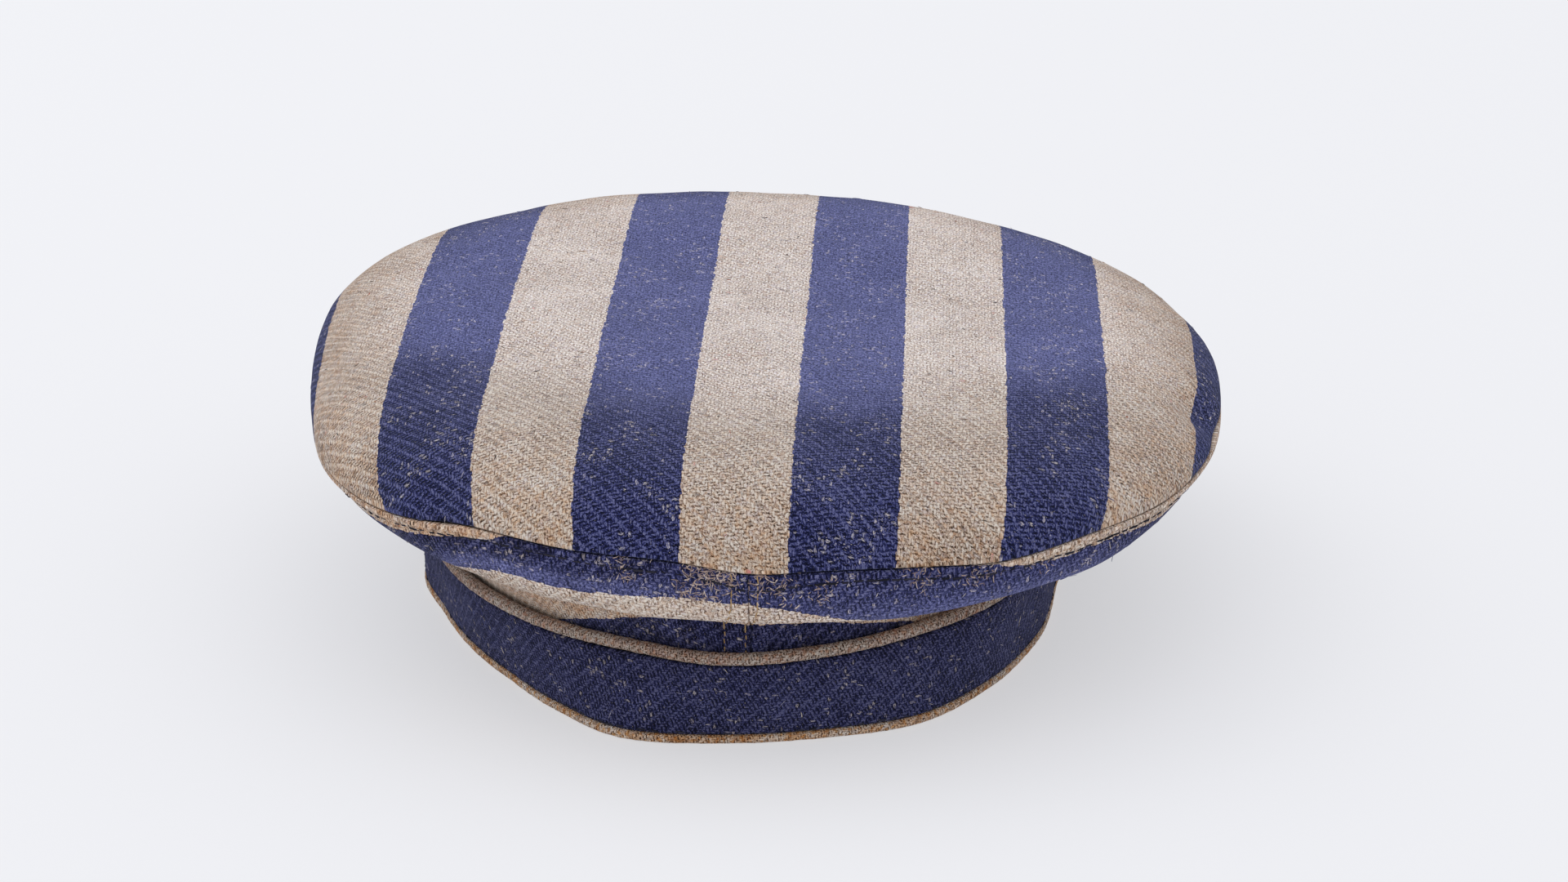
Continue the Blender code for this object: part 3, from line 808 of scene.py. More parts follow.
def makeRingHalf(name, start, end, material):
    look = ringLook
    off = math.degrees(look["clearance"] / (capSizes["bandRadius"] * look["narrowest"]))
    azimuth = seamColumns(start + off, end - off, look["along"])
    corners = ringCorners(azimuth)
    section = np.stack([curveThrough(corners, share) for share in np.linspace(0, 1, look["sectionSteps"])])
    run = runLength(section, 0)
    surface = np.empty((look["rows"], len(azimuth), 3))
    for k in range(len(azimuth)):
        places = np.linspace(0, 1, look["rows"]) ** look["rowEasing"] * run[-1, k]
        for axis in range(3):
            surface[:, k, axis] = np.interp(places, run[:, k], section[:, k, axis])
    rise = np.linspace(capSizes["collar"], 0, look["rollRows"] + 1)[:-1, None, None]
    base = np.concatenate([surface[:1] + rise * (0, 0, 1), surface])
    outer = np.concatenate([edgeRoll(azimuth, look["rollRows"], -1.0)[::-1], surface])
    normals = gridNormals(base, False)
    fromSeam = runLength(base, 0)
    left = run[-1][None, :] + capSizes["collar"] - fromSeam
    inside = smooth(0.0, look["calmSeam"], fromSeam) * smooth(*look["calmTail"], left)
    ends = np.minimum(azimuth - azimuth[0], azimuth[-1] - azimuth)[None, :]
    ends = np.clip(ends * math.radians(1) * look["seamRadius"] / look["seamEase"], 0, 1)
    lift = unevenness(base, look["waves"], seed=11.7) * inside
    dip = look["seamDip"] * (1 - np.sqrt(1 - (1 - ends) ** 2)) * smooth(0.0, look["dipTail"], left)
    valley = look["stitchValley"] * hump(fromSeam, look["stitchDrop"], look["valleyWidth"])
    outer = outer + normals * (lift - dip - valley)[..., None]
    inner = base + normals * (lift - capSizes["cloth"])[..., None]

    # the stripes run along the ring, but not quite: edges holds how deep under the seam they lie
    seamRun = runLength(at(azimuth, seamEdge(azimuth)[0], 0 * azimuth), 0)[None, :]
    edges = readSlopes(look["stripeEdges"], azimuth)
    number = np.empty_like(fromSeam)
    for k in range(len(azimuth)):
        outerEdge, first, second = edges[:, k]
        places = [outerEdge - clothLook["stripe"], outerEdge, first, second, second + clothLook["stripe"]]
        number[:, k] = np.interp(fromSeam[:, k], places, [-1.0, 0.0, 1.0, 2.0, 3.0])
    # painted sheen along the crest, more at the front right and less at the front left
    rightFront = hump(azimuth, *look["rightFront"])[None, :]
    leftFront = hump(azimuth, *look["leftFront"])[None, :]
    # painted highlight over the grey stripe at the front left
    hazeStrength, hazeRise, hazeReach = look["haze"]
    haze = hazeStrength * leftFront * hump(fromSeam, edges[1][None, :] - hazeRise, hazeReach)
    moreRight, lessLeft = look["napSides"]
    crest = hump(fromSeam / fromSeam[-1:], *look["napCrest"])
    nap = look["nap"] * crest * (1 + moreRight * rightFront) * (1 - lessLeft * leftFront) + haze
    everywhere, atSeam, inFold, atLeft = look["wear"]
    # painted shade deep in the front fold, under the overhanging crest, carried in with the wear
    fold = smooth(*look["foldDepth"], fromSeam) * (1 - smooth(*look["foldAzimuth"], np.abs(azimuth)))[None, :]
    wear = (everywhere + atSeam * np.exp(-(fromSeam / look["wearReach"])) + inFold * fold
            + atLeft * leftFront * hump(fromSeam, 0.0, look["wearReach"]))
    stripe = np.stack([number, nap, 0 * nap], -1)
    weave = np.stack([fromSeam, seamRun * look["stretch"] + 0 * fromSeam, wear], -1)
    ringGrids.append((azimuth, fromSeam, outer, normals))
    return makeShell(name, outer, inner, weave, stripe, False, material)


# Band with its folds and lining
bandLook = {
    "around": 460,
    "rows": 22,
    "liningRows": 8,
    "waves": ((0.030, 0.0007), (0.012, 0.0002)),
    # painted sheen along the middle of the band
    "nap": 0.08,
    "wear": (0.30, 0.35),      # everywhere, and more at the upper and lower edge
}


def makeStrip(name, inset, drop, thickness, material, rows):
    low = capSizes["footHeight"] + capSizes["gap"]
    share = np.linspace(0, 1, bandLook["around"] + 1)[None, :]
    step = np.linspace(0, 1, rows)[:, None]
    headZ = capSizes["bandHeight"]
    for _ in range(3):  # the end's azimuth depends on the height, and the height on the azimuth
        level = mix(headZ - drop, low, step) + 0 * share
        azimuth = bandAzimuth(share, level)
        headZ = bandHeadZ(azimuth)
    base = bandFace(azimuth, level, inset)
    normals = gridNormals(base, False)
    normals[..., 2] = 0
    normals /= np.linalg.norm(normals, axis=-1, keepdims=True)
    inEdge = np.sin(np.linspace(0, math.pi, rows))[:, None] + 0 * share
    lift = unevenness(base, bandLook["waves"], seed=23.9) * inEdge
    outer = base + normals * lift[..., None]
    inner = base + normals * (lift - thickness)[..., None]
    everywhere, atEdges = bandLook["wear"]
    weave = np.stack([level, runLength(base, 1), everywhere + atEdges * (1 - inEdge)], -1)
    stripe = np.stack([0.5 + 0 * inEdge, bandLook["nap"] * inEdge, 0 * inEdge], -1)
    return makeShell(name, outer, inner, weave, stripe, False, material)


# Starts a Geometry Nodes tree with named inputs
def startTree(name, inputs):
    tree = bpy.data.node_groups.new(name, "GeometryNodeTree")
    kinds = {"Geometry": "Geometry", "Material": "Material", "Direction": "Vector", "Centre": "Vector"}
    for label, value in {"Geometry": None, **inputs, "Material": None}.items():
        kind = "NodeSocket" + kinds.get(label, "Float")
        socket = tree.interface.new_socket(name=label, in_out="INPUT", socket_type=kind)
        if value is not None:
            socket.default_value = value
    tree.interface.new_socket(name="Geometry", in_out="OUTPUT", socket_type="NodeSocketGeometry")
    kit = NodeKit(tree)
    return tree, kit, kit.wires("NodeGroupInput")


def finishTree(kit, geometry, material):
    geometry = kit.make("GeometryNodeSetShadeSmooth", {"Geometry": geometry})
    geometry = kit.make("GeometryNodeRealizeInstances", {"Geometry": geometry})
    geometry = kit.make("GeometryNodeSetMaterial", {"Geometry": geometry, "Material": material})
    kit.feed(kit.add("NodeGroupOutput").inputs, {0: geometry})


def keep(kit, geometry, name, value, kind="FLOAT", domain="POINT"):
    values = {"Geometry": geometry, "Name": name, "Value": value}
    return kit.make("GeometryNodeStoreNamedAttribute", values, data_type=kind, domain=domain)


def fetch(kit, name, kind="FLOAT"):
    return kit.make("GeometryNodeInputNamedAttribute", {"Name": name}, data_type=kind)


# A soft rolled edge along a path: a round or flattened section with lumps
def makeRollTree():
    tree, kit, given = startTree("rolled edge", {
        "Thickness": 0.003, "Height": 0.003, "Squareness": 1.0, "Lumps": 0.0003, "Number": 1.5, "Wear": 0.6,
        "Seed": 0.0})
    path = kit.make("GeometryNodeSetCurveNormal", {"Curve": given["Geometry"]}, mode="Z_UP")
    path = keep(kit, path, "run", kit.make("GeometryNodeSplineParameter", output="Length"))
    values = {"Resolution": foldLook["around"], "Radius": 1.0}
    section = kit.make("GeometryNodeCurvePrimitiveCircle", values, "Curve")
    around = kit.make("GeometryNodeSplineParameter", output="Factor")
    section = keep(kit, section, "round", kit.math("FRACT", around + 0.5))
    position = kit.make("GeometryNodeInputPosition")
    x, y, _ = kit.split(position)

    def squared(value, size):
        power = kit.math("ABSOLUTE", value) ** given["Squareness"]
        return power * kit.math("SIGN", value) * (size * 0.5)

    shaped = kit.join(squared(x, given["Thickness"]), squared(y, given["Height"]))
    section = kit.make("GeometryNodeSetPosition", {"Geometry": section, "Position": shaped})
    roll = kit.make("GeometryNodeCurveToMesh", {"Curve": path, "Profile Curve": section, "Fill Caps": True})
    seeded = kit.vector("ADD", position, kit.join(given["Seed"], given["Seed"]))
    lump = (kit.noise(seeded, *foldLook["lumps"]) - 0.5) * (given["Lumps"] * foldLook["lumpReach"])
    push = kit.scaled(kit.make("GeometryNodeInputNormal"), lump)
    roll = kit.make("GeometryNodeSetPosition", {"Geometry": roll, "Offset": push})
    girth = (given["Thickness"] + given["Height"]) * (math.pi / 2)
    weave = kit.join(fetch(kit, "round") * girth, fetch(kit, "run"), given["Wear"])
    roll = keep(kit, roll, "weave", weave, "FLOAT_VECTOR")
    roll = keep(kit, roll, "stripe", kit.join(given["Number"]), "FLOAT_VECTOR")
    finishTree(kit, roll, given["Material"])
    return tree


# Runs a tree on an object and leaves one plain mesh at the origin
def runTree(tree, source, name, **values):
    modifier = source.modifiers.new(name, "NODES")
    modifier.node_group = tree
    for socket in tree.interface.items_tree:
        if socket.in_out == "INPUT" and socket.name in values:
            modifier[socket.identifier] = values[socket.name]
    bpy.context.view_layer.update()
    ready = source.evaluated_get(bpy.context.evaluated_depsgraph_get())
    mesh = bpy.data.meshes.new_from_object(ready)
    mesh.name = name
    bpy.data.objects.remove(source)
    return addObject(name, mesh)


def makePath(points):
    curve = bpy.data.curves.new("path", "CURVE")
    curve.dimensions = "3D"
    spline = curve.splines.new("POLY")
    spline.points.add(len(points) - 1)
    weighted = np.column_stack([points, np.ones(len(points))]).astype(np.float32)
    spline.points.foreach_set("co", weighted.ravel())
    return addObject("path", curve)


foldLook = {
    "along": 1150,
    "around": 18,
    "lumps": (320.0, 3.0, 0.9),   # noise: scale, detail, roughness
    "lumpReach": 3.0,
    "top": {"Squareness": 0.85, "Lumps": 0.00022, "Number": 1.5, "Wear": 0.65, "Seed": 1.0},
    "foot": {"Squareness": 0.62, "Lumps": 0.00016, "Number": 1.5, "Wear": 0.95, "Seed": 2.0},
}


# A line along the band at a height, or along its top where no height is given
def bandPath(height, inset, lower=0.0):
    share = np.linspace(0, 1, foldLook["along"])
    level = np.full_like(share, capSizes["bandHeight"] if height is None else height)
    for _ in range(3):
        azimuth = bandAzimuth(share, level)
        if height is None:
            level = bandHeadZ(azimuth)
    path = bandFace(azimuth, level, inset)
    path[:, 2] -= lower
    return path + capShift


liningLook = {
    "thread": 0.0004,
    "fuzz": (700.0, 3.0, 0.65),
    "stains": (90.0, 3.0, 0.6),
    "shares": (0.25, 0.7, 0.35),   # of threads, stains and fuzz in the colour
    "colours": ((0.35, (0.30, 0.20, 0.12)), (0.60, (0.62, 0.51, 0.37)), (0.85, (0.82, 0.74, 0.60))),
    "relief": 0.00012,
    "fuzzRelief": 0.6,         # of the fuzz, where the threads have 1
}


def makeLiningCloth():
    look = liningLook
    material, kit, shader = newMaterial("cream lining")
    place = kit.make("ShaderNodeAttribute", output="Vector", attribute_name="weave")
    across, along, _ = kit.split(place)
    threads = [kit.math("ABSOLUTE", kit.math("SINE", way * (math.pi / look["thread"])))
               for way in (across, along)]
    checker = threads[0] * threads[1]
    fuzz = kit.noise(place, *look["fuzz"])
    stains = kit.noise(place, *look["stains"])
    threadShare, stainShare, fuzzShare = look["shares"]
    colour = kit.ramp(checker * threadShare + (stains * stainShare + fuzz * fuzzShare), look["colours"])
    height = fuzz * look["fuzzRelief"] + checker
    bump = kit.make("ShaderNodeBump", {"Height": height, "Distance": look["relief"], "Strength": 1.0})
    kit.feed(shader, {"Base Color": colour, "Normal": bump, "Roughness": 0.9, "Specular IOR Level": 0.15})
    return material


stripedCloth = makeCloth("striped cloth")
# the ring's dark tint darkens its wear and gives the painted shade in its front fold
ringCloth = makeCloth("ring cloth", brightness=1.08, flecks=0.05, sheen=0.10, contrast=1.75,
                      stain=(0.42, 0.39, 0.40), greyStain=(0.90, 0.71, 0.56))
bandCloth = makeCloth("band cloth", slant=-1.0, brightness=0.76, flecks=0.035, specks=0.10, sheen=0.03,
                      ribs=0.44, stain=(0.62, 0.58, 0.58), pitch=(0.00070, 0.00088, 1.0))
greyFold = makeCloth("grey fold", brightness=0.72, ragged=0.0, contrast=2.6, sheen=0.05, pits=0.9,
                     warmYarn=(0.92, 0.70, 0.58), greyStain=(0.82, 0.58, 0.50), pitch=(0.00070, 0.00060, 1.0))
tanFold = makeCloth("tan fold", ragged=0.0, contrast=2.4, sheen=0.05, pits=0.9, warmYarn=(0.88, 0.62, 0.36),
                    greyStain=(0.80, 0.50, 0.26), pitch=(0.00060, 0.00060, 1.0))
lining = makeLiningCloth()

crown = makeCrown(stripedCloth)
print("crown:", len(crown.data.polygons), "faces")
sideRight = makeRingHalf("side_right_cloth", -180.0, 0.0, ringCloth)
sideLeft = makeRingHalf("side_left_cloth", 0.0, 180.0, ringCloth)
print("ring halves:", len(sideLeft.data.polygons), "faces each")
cloth, gap, topRoll = capSizes["cloth"], capSizes["gap"], capSizes["topRoll"]
band = makeStrip("band_cloth", 0.0, topRoll + gap, cloth, bandCloth, bandLook["rows"])
liningStrip = makeStrip("lining_cloth", cloth + gap, capSizes["ringTail"] + gap, capSizes["liningCloth"],
                        lining, bandLook["liningRows"])
rollTree = makeRollTree()
topFold = runTree(rollTree, makePath(bandPath(None, cloth / 2, topRoll / 2)), "top_roll", Thickness=topRoll,
                  Height=topRoll, Material=greyFold, **foldLook["top"])
footThickness = capSizes["footProud"] + cloth + gap + capSizes["liningCloth"]
footPath = makePath(bandPath(capSizes["footHeight"] / 2, footThickness / 2 - capSizes["footProud"]))
footFold = runTree(rollTree, footPath, "foot_roll", Thickness=footThickness, Height=capSizes["footHeight"],
                   Material=tanFold, **foldLook["foot"])
print("band and folds:", sum(len(piece.data.polygons) for piece in (band, topFold, footFold)), "faces")


# The ring's surface at some azimuths and depths under the crown seam, raised off the cloth a little
def onRing(azimuth, depth, lift=0.0):
    azimuth, depth = np.broadcast_arrays(np.asarray(azimuth, float), np.asarray(depth, float))
    points = np.empty((len(azimuth), 3))
    for k in range(len(azimuth)):
        columns, depths, outer, normals = ringGrids[0 if azimuth[k] < 0 else 1]
        after = int(np.clip(np.searchsorted(columns, azimuth[k]), 1, len(columns) - 1))
        share = np.clip((azimuth[k] - columns[after - 1]) / (columns[after] - columns[after - 1]), 0, 1)
        ends = []
        for column in (after - 1, after):
            raised = outer[:, column] + normals[:, column] * lift
            ends.append(np.array([np.interp(depth[k], depths[:, column], way) for way in raised.T]))
        points[k] = mix(*ends, share)
    return points + capShift


# Hair, stitches and frays. Pairs are the least and the most of a random factor.
fibreLook = {
    "aboveFloor": 0.0001,
    "drift": (70.0, 3.0, 0.6),        # noise in which the hair lies: scale, detail, roughness
    "driftStep": (0.36, 0.66),
    "hair": (3, 3, 2.0),              # sides, steps along it, bend as a share of its thickness
    "hairLengths": (0.5, 1.5),
    "hairThicknesses": (0.7, 1.5),
    "hairTilt": (3.0, -3.0),          # power: most hair lies flat, and the angle of the few that stand up
    "stitch": (6, 5, 0.25),
    "stitchLengths": (0.7, 1.2),
    "stitchSlant": 0.16,
    "coilSteps": 9,
    "coilStart": 0.3,                 # the coil's radius at its root, as a share of the one at its end
    "coilTaper": (4.0, 0.7),
    "coilSizes": (0.5, 1.3),
    "coilSides": 5,
}


# Turns instances into one mesh with a random number on each, which the thread's colour reads
def finishInstances(kit, points, instance, rotation, scale, seed, material):
    values = {"Points": points, "Instance": instance, "Rotation": rotation, "Scale": scale}
    placed = kit.make("GeometryNodeInstanceOnPoints", values)
    placed = keep(kit, placed, "shade", kit.random(0.0, 1.0, seed), domain="INSTANCE")
    whole = kit.make("GeometryNodeRealizeInstances", {"Geometry": placed})
    x, y, z = kit.split(kit.make("GeometryNodeInputPosition"))
    above = kit.join(x, y, kit.math("MAXIMUM", z, fibreLook["aboveFloor"]))
    whole = kit.make("GeometryNodeSetPosition", {"Geometry": whole, "Position": above})
    finishTree(kit, whole, material)


# A tube of thread along a curve, of width 1 before it is scaled
def addTube(kit, line, taper, sides, scale=None):
    line = kit.make("GeometryNodeSetCurveRadius", {"Curve": line, "Radius": taper})
    ring = kit.make("GeometryNodeCurvePrimitiveCircle", {"Resolution": sides, "Radius": 0.5}, "Curve")
    if scale:
        ring = kit.make("GeometryNodeTransform", {"Geometry": ring, "Scale": scale})
    return kit.make("GeometryNodeCurveToMesh", {"Curve": line, "Profile Curve": ring, "Fill Caps": True})


# A bent fibre of length 1 along X, thin at both ends
def addFibre(kit, sides, steps, bend):
    line = kit.make("GeometryNodeCurveQuadraticBezier", {
        "Resolution": steps, "Start": (-0.5, 0.0, 0.0), "Middle": (0.0, bend, bend * 0.5),
        "End": (0.5, 0.0, 0.0)})
    off = kit.make("GeometryNodeSplineParameter", output="Factor") * 2.0 - 1.0
    return addTube(kit, line, 1.15 - off * off, sides)


def rotated(kit, rotation, axis, angle):
    turn = kit.make("FunctionNodeAxisAngleToRotation", {"Axis": axis, "Angle": angle})
    values = {"Rotation": rotation, "Rotate By": turn}
    return kit.make("FunctionNodeRotateRotation", values, rotation_space="LOCAL")


# Points along a path, each moved a little, and the path's direction there
def pointsAlong(kit, given, reach, seed):
    values = {"Curve": given["Geometry"], "Length": given["Pitch"]}
    found = kit.wires("GeometryNodeCurveToPoints", values, mode="LENGTH")
    offset = kit.scaled(kit.randomVector(1.0, seed), reach)
    moved = kit.make("GeometryNodeSetPosition", {"Geometry": found["Points"], "Offset": offset})
    return moved, found["Tangent"]


# Fibres lying on the outer side of a cloth, in drifts, on the blue (0) or the grey (1) stripes
def makeHairTree():
    look = fibreLook
    tree, kit, given = startTree("hair", {
        "Density": 30000.0, "Length": 0.0018, "Thickness": 0.00012, "Rise": 0.25, "Stripe": 0.0,
        "Centre": (0.0, 0.0, 0.0), "Reach": 9.0, "Drift": 1.0, "Seed": 0.0})
    number, _, outerSide = kit.split(fetch(kit, "stripe", "FLOAT_VECTOR"))
    parity = kit.math("FLOORED_MODULO", kit.math("FLOOR", number), 2.0)
    chosen = kit.math("COMPARE", parity, given["Stripe"], 0.5) * kit.math("GREATER_THAN", outerSide, 0.95)
    position = kit.make("GeometryNodeInputPosition")
    drift = kit.step(kit.noise(position, *look["drift"]), *look["driftStep"])
    values = {0: position, 1: given["Centre"]}
    away = kit.make("ShaderNodeVectorMath", values, "Value", operation="DISTANCE")
    near = 1.0 - kit.step(away / given["Reach"], 0.5, 1.0)
    share = chosen * (near * kit.blend(given["Drift"], 1.0, drift))
    spread = kit.wires("GeometryNodeDistributePointsOnFaces", {
        "Mesh": given["Geometry"], "Density": share * given["Density"], "Seed": given["Seed"]})
    flatness, angle = look["hairTilt"]
    tilt = kit.random(0.0, 1.0, 6) ** flatness * (given["Rise"] * angle)
    laid = rotated(kit, spread["Rotation"], (0.0, 0.0, 1.0), kit.random(0.0, math.tau, 5))
    laid = rotated(kit, laid, (0.0, 1.0, 0.0), tilt)
    thickness = given["Thickness"] * kit.random(*look["hairThicknesses"], 8)
    size = kit.join(given["Length"] * kit.random(*look["hairLengths"], 7), thickness, thickness)
    finishInstances(kit, spread["Points"], addFibre(kit, *look["hair"]), laid, size, 9, given["Material"])
    return tree


# Stitches of thread along a path
def makeStitchTree():
    look = fibreLook
    tree, kit, given = startTree("stitches", {
        "Pitch": 0.0032, "Length": 0.0022, "Thickness": 0.00045, "Wander": 0.0002})
    points, ahead = pointsAlong(kit, given, given["Wander"], 11)
    askew = kit.vector("ADD", kit.randomVector(look["stitchSlant"], 12), ahead)
    laid = kit.make("FunctionNodeAlignRotationToVector", {"Vector": askew}, axis="X")
    length = given["Length"] * kit.random(*look["stitchLengths"], 13)
    size = kit.join(length, given["Thickness"], given["Thickness"])
    finishInstances(kit, points, addFibre(kit, *look["stitch"]), laid, size, 14, given["Material"])
    return tree


# Loose curled yarn ends along a path
def makeFrayTree():
    look = fibreLook
    tree, kit, given = startTree("frays", {
        "Pitch": 0.0006, "Length": 0.0050, "Curl": 0.9, "Breadth": 0.0009, "Thickness": 0.00035,
        "Scatter": 0.0006, "Spread": 0.6, "Direction": (0.0, 1.0, 0.0)})
    points, _ = pointsAlong(kit, given, given["Scatter"], 21)
    aim = kit.vector("ADD", given["Direction"], kit.scaled(kit.randomVector(1.0, 22), given["Spread"]))
    laid = kit.make("FunctionNodeAlignRotationToVector", {"Vector": aim}, axis="Z")
    laid = rotated(kit, laid, (0.0, 0.0, 1.0), kit.random(0.0, math.tau, 23))
    coil = kit.make("GeometryNodeCurveSpiral", {
        "Resolution": look["coilSteps"], "Rotations": given["Curl"], "End Radius": given["Breadth"],
        "Start Radius": given["Breadth"] * look["coilStart"], "Height": given["Length"]})
    power, drop = look["coilTaper"]
    taper = 1.0 - kit.make("GeometryNodeSplineParameter", output="Factor") ** power * drop
    width = kit.join(given["Thickness"], given["Thickness"], 1.0)
    yarn = addTube(kit, coil, taper, look["coilSides"], width)
    scale = kit.random(*look["coilSizes"], 24)
    finishInstances(kit, points, yarn, laid, kit.join(scale, scale, scale), 25, given["Material"])
    return tree


def makeThread(name, *stops):
    material, kit, shader = newMaterial(name)
    shade = kit.make("ShaderNodeAttribute", output="Fac", attribute_name="shade")
    kit.feed(shader, {"Base Color": kit.ramp(shade, stops), "Roughness": 0.9, "Specular IOR Level": 0.15})
    return material


def copyOf(piece):
    return addObject("source", piece.data.copy())


paleHair = makeThread("pale hair", (0.0, (0.05, 0.055, 0.17)), (0.55, (0.13, 0.14, 0.30)),
                      (0.82, (0.36, 0.34, 0.42)), (1.0, (0.66, 0.58, 0.50)))
darkHair = makeThread("dark hair", (0.0, (0.035, 0.030, 0.035)), (0.5, (0.12, 0.085, 0.065)),
                      (0.85, (0.30, 0.17, 0.09)), (1.0, (0.42, 0.07, 0.05)))
darkThread = makeThread("dark thread", (0.0, (0.010, 0.010, 0.016)), (1.0, (0.030, 0.028, 0.040)))
tanThread = makeThread("tan thread", (0.0, (0.20, 0.12, 0.05)), (1.0, (0.42, 0.28, 0.14)))
wornHair = makeThread("worn hair", (0.0, (0.16, 0.12, 0.16)), (0.4, (0.42, 0.30, 0.26)),
                      (1.0, (0.70, 0.58, 0.52)))
frayedYarn = makeThread("frayed yarn", (0.0, (0.05, 0.06, 0.20)), (0.30, (0.16, 0.18, 0.38)),
                        (0.6, (0.40, 0.42, 0.56)), (1.0, (0.74, 0.70, 0.70)))
creamYarn = makeThread("cream yarn", (0.0, (0.52, 0.40, 0.25)), (0.5, (0.76, 0.64, 0.46)),
                       (1.0, (0.88, 0.80, 0.66)))
tanYarn = makeThread("tan yarn", (0.0, (0.16, 0.09, 0.04)), (1.0, (0.48, 0.32, 0.18)))
whiteThread = makeThread("white thread", (0.0, (0.86, 0.86, 0.88)), (1.0, (0.92, 0.92, 0.93)))

hairTree = makeHairTree()
stitchTree = makeStitchTree()
frayTree = makeFrayTree()
details = []  # object, slot


def addDetail(tree, source, name, slotName, material, **values):
    details.append((runTree(tree, source, name, Material=material, **values), slotName))


# Short hair
hairLook = {
    "crown": {"Density": 20000.0, "Length": 0.0012, "Thickness": 0.00011, "Rise": 0.18, "Stripe": 0.0},
    "ring": {"Density": 60000.0, "Length": 0.0014, "Thickness": 0.00011, "Rise": 0.30, "Stripe": 0.0},
    "band": {"Density": 52000.0, "Length": 0.0012, "Thickness": 0.00011, "Rise": 0.15, "Stripe": 0.0},
    "dark": {"Density": 16000.0, "Length": 0.0010, "Thickness": 0.00011, "Rise": 0.08, "Stripe": 1.0},
    "worn": {"Density": 2800000.0, "Length": 0.0010, "Thickness": 0.00017, "Rise": 0.20, "Reach": 0.0088,
             "Drift": 0.9},
    "rubbed": {"Density": 1700000.0, "Length": 0.0009, "Thickness": 0.00015, "Rise": 0.15, "Reach": 0.0052,
               "Drift": 1.0},
    # kind, azimuth and depth under the crown seam of the worn places at the front
    "wornPlaces": (("worn", -4.5, 0.0042), ("worn", 2.5, 0.0050), ("rubbed", 8.0, 0.0030),
                   ("rubbed", 19.0, 0.0014), ("rubbed", 27.0, 0.0014), ("rubbed", 35.0, 0.0016),
                   ("rubbed", -13.0, 0.0020)),
}

for seed, (piece, name, slotName, kind, material) in enumerate((
        (crown, "crown_hair", "striped_cloth", "crown", paleHair),
        (crown, "crown_dark_hair", "striped_cloth", "dark", darkHair),
        (sideRight, "side_right_hair", "striped_cloth", "ring", paleHair),
        (sideLeft, "side_left_hair", "striped_cloth", "ring", paleHair),
        (band, "band_hair", "blue_cloth", "band", paleHair)), 1):
    addDetail(hairTree, copyOf(piece), name, slotName, material, Seed=seed, **hairLook[kind])
for number, (kind, azimuth, depth) in enumerate(hairLook["wornPlaces"]):
    half = sideRight if azimuth < 0 else sideLeft
    addDetail(hairTree, copyOf(half), f"worn_hair_{number + 1}", "striped_cloth", wornHair, Seed=10 + number,
              Centre=onRing([azimuth], [depth])[0], **hairLook[kind])

# Frays at the back split
frayLook = {
    "edge": {"Pitch": 0.00050, "Length": 0.0026, "Curl": 1.1, "Breadth": 0.0009, "Thickness": 0.00034,
             "Scatter": 0.0006, "Spread": 0.8},
    "teased": {"Pitch": 0.00017, "Length": 0.0013, "Curl": 1.0, "Breadth": 0.0008, "Thickness": 0.00036,
               "Scatter": 0.0013, "Spread": 1.1},
    "curls": {"Pitch": 0.0019, "Length": 0.0050, "Curl": 1.25, "Breadth": 0.0021, "Thickness": 0.00085,
              "Scatter": 0.0010, "Spread": 0.7},
    "tan": {"Pitch": 0.0016, "Length": 0.0040, "Curl": 1.2, "Breadth": 0.0016, "Thickness": 0.00060,
            "Scatter": 0.0012, "Spread": 0.9},
    "blob": {"Pitch": 0.00016, "Length": 0.0020, "Curl": 1.6, "Breadth": 0.0012, "Thickness": 0.00036,
             "Scatter": 0.0014, "Spread": 2.0},
    "lining": {"Thickness": 0.0014, "Height": 0.0014, "Lumps": 0.00025, "Squareness": 0.8, "Wear": 0.5,
               "Seed": 3.0},
    "thread": {"Thickness": 0.0006, "Height": 0.0006, "Lumps": 0.00004, "Squareness": 1.0, "Wear": 0.0,
               "Seed": 4.0},
    "tornLine": ((1, 0.0235, 0.0240, -0.0002, 0.0012), (0, 0.0235, 0.0240, 0.0002, 0.0004)),
    "splitRadius": 0.119,
    # azimuth behind the foot's corner at the split, distance off the band and height
    "threadPath": ((3.6, 0.0010, 0.0046), (4.6, 0.0012, 0.0040), (5.8, 0.0015, 0.0027), (7.2, 0.0024, 0.0012),
                   (8.8, 0.0032, 0.0005), (10.4, 0.0046, 0.0003)),
}


# A line up one end of the band, seen from behind: share 0 is the left end and 1 the right one. It lies
# some way in from the outer face and back from the edge.
def splitEdge(share, low, high, inset, setBack, count=40):
    level = np.linspace(low, high, count)
    turn = math.degrees(setBack / frayLook["splitRadius"])
    azimuth = bandAzimuth(np.full(count, float(share)), level) + (1 - 2 * share) * turn
    return bandFace(azimuth, level, inset) + capShift


